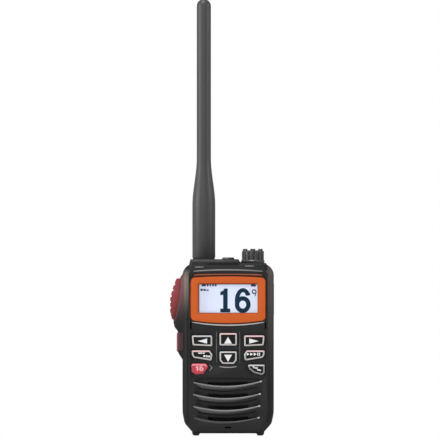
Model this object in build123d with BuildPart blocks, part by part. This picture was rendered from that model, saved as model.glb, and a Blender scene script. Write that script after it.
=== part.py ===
"""Handheld VHF marine radio with screw-in antenna, slide-on battery and belt clip.

The body stands on its feet with the display facing -Y. Sizes are in millimetres.
Heights are measured up from the feet, widths from the body's centre line and
depths from the joint between the front case and the chassis.
"""

import os
from math import asin, cos, degrees, radians, sin

from build123d import *

os.makedirs("parts", exist_ok=True)

# ---------------------------------------------------------------- driving sizes
BODY_HALF_WIDTH = 23.2
CASE_BOTTOM = 1.1
SHOULDER_TOP = 87.3
SHOULDER_RADIUS = 6.0
HEEL_INSET = 5.6
HEEL_SIDE_INSET = 1.1
HEEL_SIDE_Z = 6.2
SIDE_START_Z = 11.5
HEEL_RADIUS = 4.5
FRONT_DEPTH = 15.0
REAR_DEPTH = 15.0
WALL = 1.8
EDGE_RADIUS = 3.6
DECK_INSET = 4.0
DECK_FLARE = 0.7
DECK_TOP = 89.5
DECK_ROOT = 80.0
DECK_CHAMFER = 1.1
DECK_SETBACK = 0.3
FACE_SETBACK = 0.8
PANEL_INSET = 3.8
PANEL_BOTTOM = 28.6
PANEL_TOP = 82.2
PANEL_RADIUS = 2.6
GASKET_THICKNESS = 0.6
GASKET_INSET = 0.3
CHASSIS_PLATE = 3.0
HEAD_FLOOR = 72.0
FIT = 0.15
SLIDE_GAP = 0.3
SHAFT_GAP = 0.05

FOOT_FROM_SIDE = 6.9
FOOT_WIDTH = 4.0
FOOT_SOLE = 2.6
FOOT_LENGTH = 9.0
FOOT_ROUND = 0.8
FOOT_INSET = 3.2

BEZEL_GAP = 0.3
BEZEL_TOP = 81.0
BEZEL_BOTTOM = 57.0
BEZEL_SAG = 1.6
BEZEL_CROWN = 0.8
BEZEL_RADIUS = 2.3
BEZEL_PROUD = 0.6
BEZEL_EDGE = 0.4
BEZEL_SIDE_BAND = 4.15
WINDOW_BOTTOM = 62.3
WINDOW_TOP = 77.0
WINDOW_RADIUS = 0.6
WINDOW_LEDGE = 1.2
WINDOW_LEDGE_DEPTH = 1.0
WINDOW_THICKNESS = 0.8
LCD_SIDE_MARGIN = 1.65
LCD_MARGIN = 2.25
LCD_THICKNESS = 1.5
BACKLIGHT_THICKNESS = 2.0

KEY_SIDE_GAP = 0.7
KEY_INNER = 7.9
KEY_MIDDLE = 4.6
KEY_ROW_1 = 48.3
KEY_ROW_2 = 40.9
KEY_ROW_3 = 33.4
KEY_PROUD = 0.8
KEY_RADIUS = 0.9
KEY_EDGE = 0.3
KEY_FLANGE = 0.8
KEY_FLANGE_WIDTH = 0.55
KEY_STEM_RADIUS = 1.0
KEY_TRAVEL = 0.4
MAT_THICKNESS = 1.0
MAT_MARGIN = 1.0
DOME_RADIUS = 2.2
DOME_HEIGHT = 0.25

GRILLE_ARC = 54.0
GRILLE_FIRST = 7.0
GRILLE_PITCH = 5.8
GRILLE_REACH = (16.0, 17.0, 17.5, 17.5)
GRILLE_FACE = 4.4
GRILLE_LIP = 0.2
GRILLE_DEPTH = 1.5
GRILLE_MOUTH = 1.6
GRILLE_MOUTH_REACH = 10.5

MIC_Z = 4.2
MIC_SLOT_WIDTH = 3.5
MIC_SLOT_HEIGHT = 1.0
MIC_RADIUS = 1.4
MIC_LENGTH = 2.2
BOOT_WALL = 0.3

SPEAKER_Z = 17.5
SPEAKER_RADIUS = 10.5
SPEAKER_DEPTH = 6.0
MEMBRANE_THICKNESS = 0.3
CONE_DEPTH = 2.2
MAGNET_RADIUS = 6.0
MAGNET_THICKNESS = 2.4
MAGNET_STANDOUT = 1.6
BASKET_WALL = 0.8
CONE_HUB = 2.0
CONE_RADIUS = 9.2
CONE_SHEET = 0.4

BOARD_FRONT = -4.5
BOARD_THICKNESS = 1.0
BOARD_GAP = 2.8
BOARD_BOTTOM = 4.6
BOARD_TOP = 82.0
CAN_HEIGHT = 2.4
CAN_HALF_WIDTH = 13.0
CAN_BOTTOM = 30.0
CAN_TOP = 66.0
CAN_SHEET = 0.3

BULGE_FRONT = -13.2
BULGE_RADIUS = 1.5
BULGE_REACH = 4.7
BULGE_SHELF = 2.3
BULGE_STEP = 3.0
BULGE_CROWN = 3.0
BULGE_TAIL = 4.9
PTT_BROW = 0.9
PTT_FRONT = -10.4
PTT_BACK = -2.6
PTT_TOP = 79.8
PTT_BOTTOM = 58.9
PTT_TRAVEL = 0.8
PTT_STANDOUT = 6.3
PTT_RIB_PITCH = 3.0
PTT_RIBS = 6
PTT_RIB_DEPTH = 0.4
PTT_SLOPE_RUN = 10.3
PTT_SLOPE = 0.29
SIDE_KEY_TOP = 52.2
SIDE_KEY_BOTTOM = 42.5
SIDE_KEY_FRONT = -9.4
SIDE_KEY_BACK = -3.6
SIDE_KEY_STANDOUT = 2.95
SIDE_KEY_ROUND = 0.7
SIDE_FLANGE = 0.8
SIDE_GAP = 0.2
SWITCH_SIZE = 3.0
SWITCH_DEPTH = 2.4

HEAD_AXIS_Y = 7.0
ANTENNA_FROM_SIDE = 10.8
ANTENNA_BASE_RADIUS = 5.85
ANTENNA_TIP_RADIUS = 3.625
ANTENNA_BASE_TOP = 117.0
ANTENNA_FLARE_TOP = 141.0
ANTENNA_TOP = 222.3
ANTENNA_SEAL = 0.6
CONNECTOR_RADIUS = 3.0
CONNECTOR_LENGTH = 7.0
CONNECTOR_GRIP = 8.0
ELEMENT_TOP = 212.0
SOCKET_RADIUS = 4.2
SOCKET_FLOOR = 78.0
SOCKET_FLANGE = 0.6
SOCKET_FLANGE_RADIUS = 5.2
ELEMENT_RADIUS = 1.5
NUT_RADIUS = 5.6
NUT_THICKNESS = 1.4

KNOB_FROM_SIDE = 10.6
KNOB_RADIUS = 5.65
KNOB_SKIRT_RADIUS = 6.0
KNOB_SKIRT = 1.2
KNOB_ROUND = 0.7
KNOB_TOP = 94.8
KNOB_DECK = 87.6
KNOB_BAY = 5.3
KNOB_FLUTES = 24
KNOB_FLUTE_RADIUS = 0.42
KNOB_GAP = 0.3
KNOB_SHAFT_RADIUS = 3.0
KNOB_SHAFT_HEIGHT = 3.6
BUSH_RADIUS = 3.6
CONTROL_HALF = 5.2
CONTROL_HEIGHT = 5.0
CONTROL_NUT = 1.2

LENS_HALF_WIDTH = 3.1
LENS_FOOT = 0.8
LENS_TOP = 90.5
LENS_Y = -7.0
LENS_HALF_DEPTH = 2.0
LENS_ROUND = 0.7

BATTERY_TOP = 71.6
BATTERY_GAP = 0.15
BATTERY_WALL = 1.5
BATTERY_TRAVEL = 12.0
COVER_THICKNESS = 1.3
RAIL_X = 10.5
RAIL_STEM = 1.6
RAIL_HEAD = 3.2
RAIL_HEAD_THICKNESS = 1.2
RAIL_LENGTH = 8.0
RAIL_BOTTOMS = (18.0, 50.0)
CELL_GAP = 0.4
CELL_SIDE_GAP = 1.5
CELL_BOTTOM = 6.0
CELL_TOP = 62.0
BATTERY_ROUND = 3.0
CHARGE_RECESS = 0.4
CONTACT_RADIUS = 1.3
CONTACT_PITCH = 6.0
CONTACT_Z = 64.0
CHARGE_Z = 9.0
CHARGE_PITCH = 14.0

LATCH_HALF_WIDTH = 6.0
LATCH_Z = 65.2
LATCH_HEIGHT = 4.0
LATCH_TRAVEL = 1.5
LATCH_PROUD = 0.6
LATCH_EAR = 1.4
LATCH_BACK = REAR_DEPTH - BATTERY_WALL - 0.3
LEAF_THICKNESS = 0.5
LEAF_HALF_WIDTH = 4.0
LEAF_LEDGE = 0.6
LEAF_HOOK = 1.3

CLIP_PIVOT_Y = 19.2
CLIP_PIVOT_Z = 80.0
CLIP_PIN_RADIUS = 1.0
CLIP_BARREL_RADIUS = 2.3
CLIP_HALF_WIDTH = 9.0
CLIP_THICKNESS = 2.2
CLIP_BOTTOM = 26.0
CLIP_TAB_TOP = 88.0
CLIP_LIP = 6.0
CLIP_LIP_GAP = 1.0
CLIP_CORNER = 2.5
CLIP_SCREW_HEAD = 1.2
BARREL_HALF_WIDTH = 6.9
SPRING_HALF_WIDTH = 3.0
SPRING_WIRE = 0.6
BRACKET_TOP = 88.0
BRACKET_BOTTOM = 74.0
BRACKET_HALF_WIDTH = 9.6
BRACKET_THICKNESS = 1.6
LUG_THICKNESS = 2.4
CLIP_SCREW_X = 5.5
CLIP_SCREW_RADIUS = 1.0
CLIP_SCREW_Z = 86.0

LOWER_SCREW_FROM_SIDE = 6.2
LOWER_SCREW_Z = 9.8
UPPER_SCREW_FROM_SIDE = 6.6
UPPER_SCREW_Z = 55.6
CASE_SCREW_RADIUS = 1.0
CASE_SCREW_HEAD = 1.9
CASE_BOSS_RADIUS = 2.3
CASE_SCREW_LENGTH = 6.0

JACK_Z = 69.0
JACK_SPREAD = 7.0
JACK_Y = -6.9
JACK_BORE = 1.75
MIC_JACK_BORE = 1.25
JACK_HALF = 2.35
JACK_DEPTH = 4.2
COVER_PROUD = 0.1
COVER_RECESS = 1.0
JACK_COVER_HALF_HEIGHT = 8.0
JACK_COVER_HALF_DEPTH = 3.9

# ------------------------------------------------------------- derived values
PTT_REACH = BODY_HALF_WIDTH + PTT_STANDOUT
SIDE_KEY_REACH = BODY_HALF_WIDTH + SIDE_KEY_STANDOUT
HEEL_X = BODY_HALF_WIDTH - HEEL_INSET
HEEL_SIDE_X = BODY_HALF_WIDTH - HEEL_SIDE_INSET
DECK_HALF_WIDTH = BODY_HALF_WIDTH - DECK_INSET
PANEL_HALF_WIDTH = BODY_HALF_WIDTH - PANEL_INSET
FOOT_X = BODY_HALF_WIDTH - FOOT_FROM_SIDE
BEZEL_HALF_WIDTH = PANEL_HALF_WIDTH - BEZEL_GAP
WINDOW_HALF_WIDTH = BEZEL_HALF_WIDTH - BEZEL_SIDE_BAND
LCD_HALF_WIDTH = WINDOW_HALF_WIDTH + LCD_SIDE_MARGIN
LCD_HALF_HEIGHT = (WINDOW_TOP - WINDOW_BOTTOM) / 2 + LCD_MARGIN
BOARD_HALF_WIDTH = BODY_HALF_WIDTH - WALL - BOARD_GAP
ANTENNA_X = ANTENNA_FROM_SIDE - BODY_HALF_WIDTH
KNOB_X = BODY_HALF_WIDTH - KNOB_FROM_SIDE
CELL_WIDTH = BODY_HALF_WIDTH - BATTERY_WALL - CELL_SIDE_GAP - CELL_GAP / 2
JACK_BACK = BODY_HALF_WIDTH - WALL - JACK_DEPTH
LOWER_SCREW_X = BODY_HALF_WIDTH - LOWER_SCREW_FROM_SIDE
UPPER_SCREW_X = BODY_HALF_WIDTH - UPPER_SCREW_FROM_SIDE
CASE_SCREWS = (
    (-LOWER_SCREW_X, LOWER_SCREW_Z),
    (LOWER_SCREW_X, LOWER_SCREW_Z),
    (-UPPER_SCREW_X, UPPER_SCREW_Z),
    (UPPER_SCREW_X, UPPER_SCREW_Z),
)
WIDTH_SHIFT = (PTT_REACH - BODY_HALF_WIDTH - COVER_PROUD) / 2
CLIP_INNER_Y = CLIP_PIVOT_Y + CLIP_BARREL_RADIUS + SLIDE_GAP
CLIP_OUTER_Y = CLIP_INNER_Y + CLIP_THICKNESS
DEPTH_SHIFT = (FRONT_DEPTH - CLIP_OUTER_Y) / 2
BODY = Vector(WIDTH_SHIFT, DEPTH_SHIFT, 0)
PANEL_Y = -(FRONT_DEPTH - FACE_SETBACK)
INNER_Y = PANEL_Y + WALL
BEZEL_FRONT = PANEL_Y - BEZEL_PROUD
BEZEL_BACK = INNER_Y - WINDOW_LEDGE_DEPTH
CAVITY_TOP = SHOULDER_TOP - WALL
BOARD_BACK = BOARD_FRONT + BOARD_THICKNESS
PTT_INNER = -(BODY_HALF_WIDTH - WALL - SIDE_GAP)
KNOB_BOTTOM = KNOB_DECK + KNOB_GAP
LENS_BACK = BEZEL_BACK + WINDOW_THICKNESS
MAT_HALF_WIDTH = PANEL_HALF_WIDTH - BEZEL_GAP
MAT_TOP = KEY_ROW_1 + 4.0 + MAT_MARGIN
MAT_BOTTOM = KEY_ROW_3 - 2.8 - MAT_MARGIN
LCD_PLACE = max(LENS_BACK, INNER_Y)
LCD_Z = (WINDOW_TOP + WINDOW_BOTTOM) / 2
FLANGE_FRONT = INNER_Y + SIDE_GAP
STEM_END = BOARD_FRONT - DOME_HEIGHT - KEY_TRAVEL - SHAFT_GAP
MAT_FRONT = FLANGE_FRONT + KEY_FLANGE + KEY_TRAVEL + SIDE_GAP
ANTENNA_BOTTOM = DECK_TOP + ANTENNA_SEAL
SHAFT_TOP = KNOB_BOTTOM + KNOB_SHAFT_HEIGHT
SHAFT_BOTTOM = CAVITY_TOP - CONTROL_NUT - CONTROL_HEIGHT / 2
SWITCH_X = PTT_INNER + SIDE_FLANGE + PTT_TRAVEL + SIDE_GAP
MIC_BODY_Z = max(MIC_Z, CASE_BOTTOM + WALL + MIC_RADIUS + BOOT_WALL + SHAFT_GAP)
SPEAKER_FRONT = INNER_Y + MEMBRANE_THICKNESS
SPEAKER_BACK = SPEAKER_FRONT + SPEAKER_DEPTH
COVER_FRONT = CHASSIS_PLATE + BATTERY_GAP
COVER_BACK = COVER_FRONT + COVER_THICKNESS
RAIL_UNDERSIDE = COVER_BACK + FIT
LEAF_Y = REAR_DEPTH - BATTERY_WALL - LEAF_THICKNESS - SLIDE_GAP
LEAF_BOTTOM = LATCH_Z + LATCH_HEIGHT + SLIDE_GAP
CELL_FRONT = RAIL_UNDERSIDE + RAIL_HEAD_THICKNESS + SLIDE_GAP
CELL_BACK = LATCH_BACK - LATCH_EAR / 2 - SLIDE_GAP
CLIP_LIP_Y = REAR_DEPTH + CLIP_LIP_GAP
JACK_FLOOR = BODY_HALF_WIDTH - COVER_RECESS - SHAFT_GAP
JACK_POCKET = JACK_COVER_HALF_DEPTH + FIT
COVER_AXIS_X = BODY_HALF_WIDTH + (COVER_PROUD - COVER_RECESS) / 2
COVER_AXIS_Z = JACK_Z + JACK_COVER_HALF_HEIGHT
COVER_KNUCKLE = (COVER_PROUD + COVER_RECESS) / 2
JACK_POCKET_TOP = COVER_AXIS_Z + COVER_KNUCKLE + SLIDE_GAP
JACK_POCKET_BOTTOM = JACK_Z - JACK_COVER_HALF_HEIGHT - SLIDE_GAP


# -------------------------------------------------------------------- planes
def at_depth(y):
    """Plane that faces the front at depth y, with x across and y up the body."""
    return Plane(origin=BODY + Vector(0, y, 0), x_dir=(1, 0, 0), z_dir=(0, -1, 0))


def at_height(z):
    """Plane that faces up at height z, with x across and y towards the back."""
    return Plane(origin=BODY + Vector(0, 0, z), x_dir=(1, 0, 0), z_dir=(0, 0, 1))


def at_width(x):
    """Plane that faces the right side at width x, with x to the back and y up."""
    return Plane(origin=BODY + Vector(x, 0, 0), x_dir=(0, 1, 0), z_dir=(1, 0, 0))


def upright(x, y):
    """Vertical axis through one point of the plan."""
    return Axis(BODY + Vector(x, y, 0), (0, 0, 1))


# ------------------------------------------------------------------ profiles
def rounded(points, radius):
    """Closed outline through the points with every corner rounded."""
    with BuildSketch() as outline:
        with BuildLine():
            FilletPolyline(*points, radius=radius, close=True)
        make_face()
    return outline.sketch


def box_between(low, high):
    """Rectangle between two opposite corners."""
    with BuildSketch() as box:
        with Locations(((low[0] + high[0]) / 2, (low[1] + high[1]) / 2)):
            Rectangle(high[0] - low[0], high[1] - low[1])
    return box.sketch


def grown(profile, amount):
    """Profile offset outwards by an amount, or inwards by a negative one."""
    with BuildSketch() as result:
        add(profile)
        offset(amount=amount)
    return result.sketch


def case_outline(inset=0.0):
    """Front view of the body up to its shoulders, set in by a wall."""
    heel = [(HEEL_X, CASE_BOTTOM), (HEEL_SIDE_X, HEEL_SIDE_Z), (BODY_HALF_WIDTH, SIDE_START_Z)]
    shoulder = (BODY_HALF_WIDTH, SHOULDER_TOP)
    right = [*heel, shoulder]
    left = [(-x, z) for x, z in reversed(right)]
    side_radii = [HEEL_RADIUS, HEEL_RADIUS, 4 * HEEL_RADIUS, SHOULDER_RADIUS]
    outline = rounded(right + left, side_radii + side_radii[::-1])
    return grown(outline, -inset) if inset else outline


def deck_profile():
    """Front view of the raised deck, stepped down under the knob."""
    foot = DECK_HALF_WIDTH + DECK_FLARE
    root_top = SHOULDER_TOP - DECK_FLARE
    return rounded(
        [
            (-foot, DECK_ROOT),
            (foot, DECK_ROOT),
            (foot, root_top),
            (DECK_HALF_WIDTH, KNOB_DECK),
            (KNOB_BAY + DECK_CHAMFER, KNOB_DECK),
            (KNOB_BAY, DECK_TOP),
            (-DECK_HALF_WIDTH, DECK_TOP),
            (-foot, root_top),
        ],
        0,
    )


def deck_block(outer, inner):
    """Deck between two depths, with its outer edges chamfered."""
    with BuildPart() as deck:
        with BuildSketch(at_depth(max(outer, inner))):
            add(deck_profile())
        extrude(amount=abs(outer - inner))
        faces = deck.faces().sort_by(Axis.Y)
        face = faces[0] if outer < inner else faces[-1]
        chamfer(face.edges().filter_by(lambda edge: edge.center().Z > SHOULDER_TOP), DECK_CHAMFER)
    return deck.part


def bulge_profile():
    """Front view of the swelling that carries the side keys."""
    side = -BODY_HALF_WIDTH
    inner = side + 2 * WALL
    crown = PTT_TOP + BULGE_CROWN
    tail = SIDE_KEY_BOTTOM - BULGE_TAIL
    brow = PTT_BOTTOM - PTT_BROW
    return rounded(
        [
            (inner, crown),
            (side + 1.0, crown),
            (side - 1.2, PTT_TOP + PTT_BROW),
            (side - 1.5, PTT_TOP - 4.3),
            (side - 2.3, PTT_TOP - 11.8),
            (side - 3.7, PTT_BOTTOM + 2.6),
            (side - BULGE_REACH, brow),
            (side - BULGE_REACH + 0.7, brow - BULGE_STEP),
            (side - BULGE_SHELF - 0.1, SIDE_KEY_TOP + PTT_BROW),
            (side - BULGE_SHELF, SIDE_KEY_BOTTOM - 0.3),
            (side + 0.6, tail),
            (inner, tail),
        ],
        [0, 2.5, 3.0, 8.0, 8.0, 8.0, 3.0, 2.5, 2.0, 3.0, 2.5, 0],
    )


def ptt_profile():
    """Front view of the talk key, whose outer edge carries the ribs."""
    return [
        (PTT_INNER, PTT_BOTTOM),
        (-PTT_REACH + 1.1, PTT_BOTTOM),
        (-PTT_REACH, PTT_BOTTOM + 3.5),
        (-PTT_REACH, PTT_TOP - 9.6),
        (-PTT_REACH + 1.5, PTT_TOP - 4.5),
        (-PTT_REACH + 3.2, PTT_TOP),
        (PTT_INNER, PTT_TOP),
    ]


def rib_notch(z):
    """Groove between two ribs of the talk key, as deep as the key's slope leaves it."""
    rise = max(0, z - PTT_TOP + PTT_SLOPE_RUN)
    reach = PTT_REACH - rise * PTT_SLOPE
    half = PTT_RIB_PITCH / 4
    return [
        (-reach + PTT_RIB_DEPTH, z - half / 2),
        (-reach + PTT_RIB_DEPTH, z + half / 2),
        (-reach - 1.5, z + 1.5 * half),
        (-reach - 1.5, z - 1.5 * half),
    ]


def bezel_profile(gap=0.0):
    """Display surround with a bowed lower edge and a crowned upper one."""
    half = BEZEL_HALF_WIDTH
    with BuildSketch() as outline:
        with BuildLine():
            Line((-half, BEZEL_BOTTOM + BEZEL_SAG), (-half, BEZEL_TOP - BEZEL_CROWN))
            ThreePointArc((-half, BEZEL_TOP - BEZEL_CROWN), (0, BEZEL_TOP), (half, BEZEL_TOP - BEZEL_CROWN))
            Line((half, BEZEL_TOP - BEZEL_CROWN), (half, BEZEL_BOTTOM + BEZEL_SAG))
            ThreePointArc((half, BEZEL_BOTTOM + BEZEL_SAG), (0, BEZEL_BOTTOM), (-half, BEZEL_BOTTOM + BEZEL_SAG))
        make_face()
        fillet(outline.vertices(), BEZEL_RADIUS)
    return grown(outline.sketch, gap) if gap else outline.sketch


def window_profile(margin=0.0):
    """Display window, widened by a margin for what sits behind it."""
    corner = (WINDOW_HALF_WIDTH + margin, (WINDOW_TOP + WINDOW_BOTTOM) / 2)
    with BuildSketch() as window:
        with Locations((0, corner[1])):
            RectangleRounded(2 * corner[0], WINDOW_TOP - WINDOW_BOTTOM + 2 * margin, WINDOW_RADIUS)
    return window.sketch


def battery_cavity(inset):
    """Inside outline of the battery, open to nothing above its top wall."""
    with BuildSketch() as cavity:
        add(case_outline(inset))
        add(
            box_between((-2 * BODY_HALF_WIDTH, BATTERY_TOP - inset), (2 * BODY_HALF_WIDTH, DECK_TOP)),
            mode=Mode.SUBTRACT,
        )
    return cavity.sketch


def mirrored(points):
    """The same outline on the other side of the centre line."""
    return [(-x, z) for x, z in reversed(points)]


KEY_SIDE = PANEL_HALF_WIDTH - KEY_SIDE_GAP
SIDE_KEY_ROW_1 = [
    (-KEY_SIDE, KEY_ROW_1 + 2.8),
    (-KEY_SIDE + 0.5, KEY_ROW_1 - 2.6),
    (-KEY_INNER, KEY_ROW_1 - 3.1),
    (-KEY_INNER, KEY_ROW_1 + 2.8),
]
SIDE_KEY_ROW_2 = [
    (-KEY_SIDE, KEY_ROW_2 + 2.6),
    (-KEY_SIDE + 0.1, KEY_ROW_2 + 0.1),
    (-KEY_SIDE + 1.1, KEY_ROW_2 - 1.5),
    (-KEY_INNER - 0.4, KEY_ROW_2 - 3.0),
    (-KEY_INNER + 0.1, KEY_ROW_2 + 0.5),
    (-KEY_INNER - 1.4, KEY_ROW_2 + 2.6),
]
KEYS = {
    "key_left": SIDE_KEY_ROW_1,
    "key_up": [
        (-KEY_MIDDLE, KEY_ROW_1 + 4.0),
        (-KEY_MIDDLE, KEY_ROW_1 - 2.7),
        (KEY_MIDDLE, KEY_ROW_1 - 2.7),
        (KEY_MIDDLE, KEY_ROW_1 + 4.0),
    ],
    "key_right": mirrored(SIDE_KEY_ROW_1),
    "key_hold": SIDE_KEY_ROW_2,
    "key_down": [
        (-KEY_MIDDLE, KEY_ROW_2 + 2.1),
        (-KEY_MIDDLE + 0.1, KEY_ROW_2 - 2.7),
        (-KEY_MIDDLE + 1.6, KEY_ROW_2 - 4.6),
        (KEY_MIDDLE - 1.6, KEY_ROW_2 - 4.6),
        (KEY_MIDDLE - 0.1, KEY_ROW_2 - 2.7),
        (KEY_MIDDLE, KEY_ROW_2 + 2.1),
    ],
    "key_scan": mirrored(SIDE_KEY_ROW_2),
    "key_16": [
        (-KEY_SIDE, KEY_ROW_3 + 3.2),
        (-KEY_SIDE + 0.3, KEY_ROW_3 - 1.0),
        (-KEY_SIDE + 2.3, KEY_ROW_3 - 2.3),
        (-KEY_SIDE + 6.1, KEY_ROW_3 - 1.9),
        (-KEY_SIDE + 8.5, KEY_ROW_3 + 1.4),
        (-KEY_SIDE + 7.5, KEY_ROW_3 + 3.2),
    ],
    "key_clear": [
        (KEY_SIDE, KEY_ROW_3 + 2.9),
        (KEY_SIDE - 9.2, KEY_ROW_3 + 2.9),
        (KEY_SIDE - 8.2, KEY_ROW_3 + 0.3),
        (KEY_SIDE - 5.6, KEY_ROW_3 - 1.7),
        (KEY_SIDE - 1.4, KEY_ROW_3 - 2.8),
        (KEY_SIDE, KEY_ROW_3 - 1.6),
    ],
}


def key_profile(points, margin=0.0):
    """Face of one key, widened by a margin for its opening or flange."""
    cap = rounded(points, KEY_RADIUS)
    return grown(cap, margin) if margin else cap


def key_centre(points):
    """Place of the stem behind one key."""
    middle = rounded(points, KEY_RADIUS).face().center()
    return (middle.X, middle.Y)


def foot_profile(x):
    """Front view of one foot, narrower at its sole."""
    return rounded(
        [
            (x - FOOT_WIDTH / 2, CASE_BOTTOM + 1.2),
            (x - FOOT_WIDTH / 2, CASE_BOTTOM),
            (x - FOOT_SOLE / 2, 0),
            (x + FOOT_SOLE / 2, 0),
            (x + FOOT_WIDTH / 2, CASE_BOTTOM),
            (x + FOOT_WIDTH / 2, CASE_BOTTOM + 1.2),
        ],
        [0, 0, FOOT_ROUND, FOOT_ROUND, 0, 0],
    )


def arc_plane(z, turn):
    """Plane through a grille arc's axis, with x outwards from the axis and y to the back."""
    angle = radians(turn)
    return Plane(
        origin=BODY + Vector(0, 0, z + GRILLE_ARC),
        x_dir=(sin(angle), 0, -cos(angle)),
        z_dir=(cos(angle), 0, sin(angle)),
    )


def grille_cut(z, reach, shape):
    """Solid swept round a grille arc by a profile given as radius and depth."""
    turn = degrees(asin(reach / GRILLE_ARC))
    with BuildPart() as cut:
        with BuildSketch(arc_plane(z, -turn)):
            Polygon(*shape, align=None)
        revolve(axis=Axis(BODY + Vector(0, 0, z + GRILLE_ARC), (0, -1, 0)), revolution_arc=2 * turn)
    return cut.part


def louvre(z, reach):
    """Wedge that makes one louvre lean back above its lower lip."""
    top = GRILLE_ARC - GRILLE_FACE
    low = GRILLE_ARC - GRILLE_LIP
    front = -FRONT_DEPTH
    ahead = front - 1
    shape = [(top, ahead), (low, ahead), (low, front + GRILLE_DEPTH), (top, front)]
    return grille_cut(z, reach, shape)


def louvre_mouth(z):
    """Opening behind the lower lip that lets the sound out."""
    low = GRILLE_ARC - GRILLE_LIP
    top = low - GRILLE_MOUTH
    shape = [(top, -FRONT_DEPTH - 1), (low, -FRONT_DEPTH - 1), (low, INNER_Y + 1), (top, INNER_Y + 1)]
    return grille_cut(z, GRILLE_MOUTH_REACH, shape)


# ---------------------------------------------------------------- front case
with BuildPart() as front_case:
    with BuildSketch(at_depth(-GASKET_THICKNESS)):
        add(case_outline())
    extrude(amount=FRONT_DEPTH - GASKET_THICKNESS)
    fillet(front_case.faces().sort_by(Axis.Y)[0].edges(), EDGE_RADIUS)
    add(deck_block(DECK_SETBACK - FRONT_DEPTH, -GASKET_THICKNESS))
    with BuildSketch(at_depth(-GASKET_THICKNESS)):
        add(bulge_profile())
    bulge = extrude(amount=-GASKET_THICKNESS - BULGE_FRONT, mode=Mode.PRIVATE)
    rim = bulge.faces().sort_by(Axis.Y)[0].edges().filter_by(lambda edge: edge.center().X < BODY.X - 20)
    add(bulge.fillet(BULGE_RADIUS, rim))
    with BuildSketch(at_depth(-GASKET_THICKNESS)):
        add(case_outline(WALL))
    extrude(amount=-GASKET_THICKNESS - INNER_Y, mode=Mode.SUBTRACT)
    for x, z in CASE_SCREWS:
        with BuildSketch(at_depth(-GASKET_THICKNESS)):
            with Locations((x, z)):
                Circle(CASE_BOSS_RADIUS)
        extrude(amount=-GASKET_THICKNESS - INNER_Y)
        with BuildSketch(at_depth(-GASKET_THICKNESS)):
            with Locations((x, z)):
                Circle(CASE_SCREW_RADIUS)
        extrude(amount=CASE_SCREW_LENGTH + SLIDE_GAP, mode=Mode.SUBTRACT)
    with BuildSketch(at_depth(PANEL_Y)):
        with Locations((0, (PANEL_TOP + PANEL_BOTTOM) / 2)):
            RectangleRounded(2 * PANEL_HALF_WIDTH, PANEL_TOP - PANEL_BOTTOM, PANEL_RADIUS)
    extrude(amount=FACE_SETBACK + 1, mode=Mode.SUBTRACT)
    with BuildSketch(at_depth(BEZEL_BACK)):
        add(bezel_profile(FIT))
    extrude(amount=BEZEL_BACK - PANEL_Y, mode=Mode.SUBTRACT)
    with BuildSketch(at_depth(INNER_Y)):
        add(window_profile(WINDOW_LEDGE + FIT))
    extrude(amount=INNER_Y - BEZEL_BACK, mode=Mode.SUBTRACT)
    for points in KEYS.values():
        with BuildSketch(at_depth(INNER_Y)):
            add(key_profile(points, FIT))
        extrude(amount=INNER_Y - PANEL_Y, mode=Mode.SUBTRACT)
    for slot, reach in enumerate(GRILLE_REACH):
        slot_z = GRILLE_FIRST + GRILLE_PITCH * slot
        add(louvre(slot_z, reach), mode=Mode.SUBTRACT)
        add(louvre_mouth(slot_z), mode=Mode.SUBTRACT)
    with BuildSketch(at_depth(INNER_Y)):
        with Locations((0, MIC_Z)):
            SlotOverall(MIC_SLOT_WIDTH, MIC_SLOT_HEIGHT)
    extrude(amount=FRONT_DEPTH + INNER_Y + 1, mode=Mode.SUBTRACT)
    for top, bottom, front, back in (
        (PTT_TOP, PTT_BOTTOM, PTT_FRONT, PTT_BACK),
        (SIDE_KEY_TOP, SIDE_KEY_BOTTOM, SIDE_KEY_FRONT, SIDE_KEY_BACK),
    ):
        with BuildSketch(at_width(-PTT_REACH - 1)):
            add(box_between((front - FIT, bottom - FIT), (back + FIT, top + FIT)))
        extrude(amount=PTT_REACH + 1 - BODY_HALF_WIDTH + 2 * WALL, mode=Mode.SUBTRACT)
    with BuildSketch(at_height(KNOB_DECK - SHOULDER_TOP + CAVITY_TOP)):
        with Locations((0, LENS_Y)):
            Rectangle(2 * (LENS_HALF_WIDTH + SHAFT_GAP), 2 * (LENS_HALF_DEPTH + SHAFT_GAP))
    extrude(amount=2 * WALL + DECK_TOP - SHOULDER_TOP, both=True, mode=Mode.SUBTRACT)
    with BuildSketch(at_width(JACK_FLOOR)):
        add(box_between((JACK_Y - JACK_POCKET, JACK_POCKET_BOTTOM), (JACK_Y + JACK_POCKET, JACK_POCKET_TOP)))
    extrude(amount=2 * WALL, mode=Mode.SUBTRACT)
    with BuildSketch(at_width(JACK_FLOOR)):
        with Locations((JACK_Y, JACK_Z - JACK_SPREAD / 2)):
            Circle(JACK_BORE)
        with Locations((JACK_Y, JACK_Z + JACK_SPREAD / 2)):
            Circle(MIC_JACK_BORE)
    extrude(amount=-2 * WALL, mode=Mode.SUBTRACT)
    for x in (-FOOT_X, FOOT_X):
        with BuildSketch(at_depth(-FOOT_INSET)):
            add(foot_profile(x))
        extrude(amount=FOOT_LENGTH)
front_case.part.label = "front_case"
export_step(front_case.part, "parts/front_case.step")

with BuildPart() as case_gasket:
    with BuildSketch(at_depth(0)):
        add(case_outline(GASKET_INSET))
        add(case_outline(WALL), mode=Mode.SUBTRACT)
    extrude(amount=GASKET_THICKNESS)
case_gasket.part.label = "case_gasket"
export_step(case_gasket.part, "parts/case_gasket.step")

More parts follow.
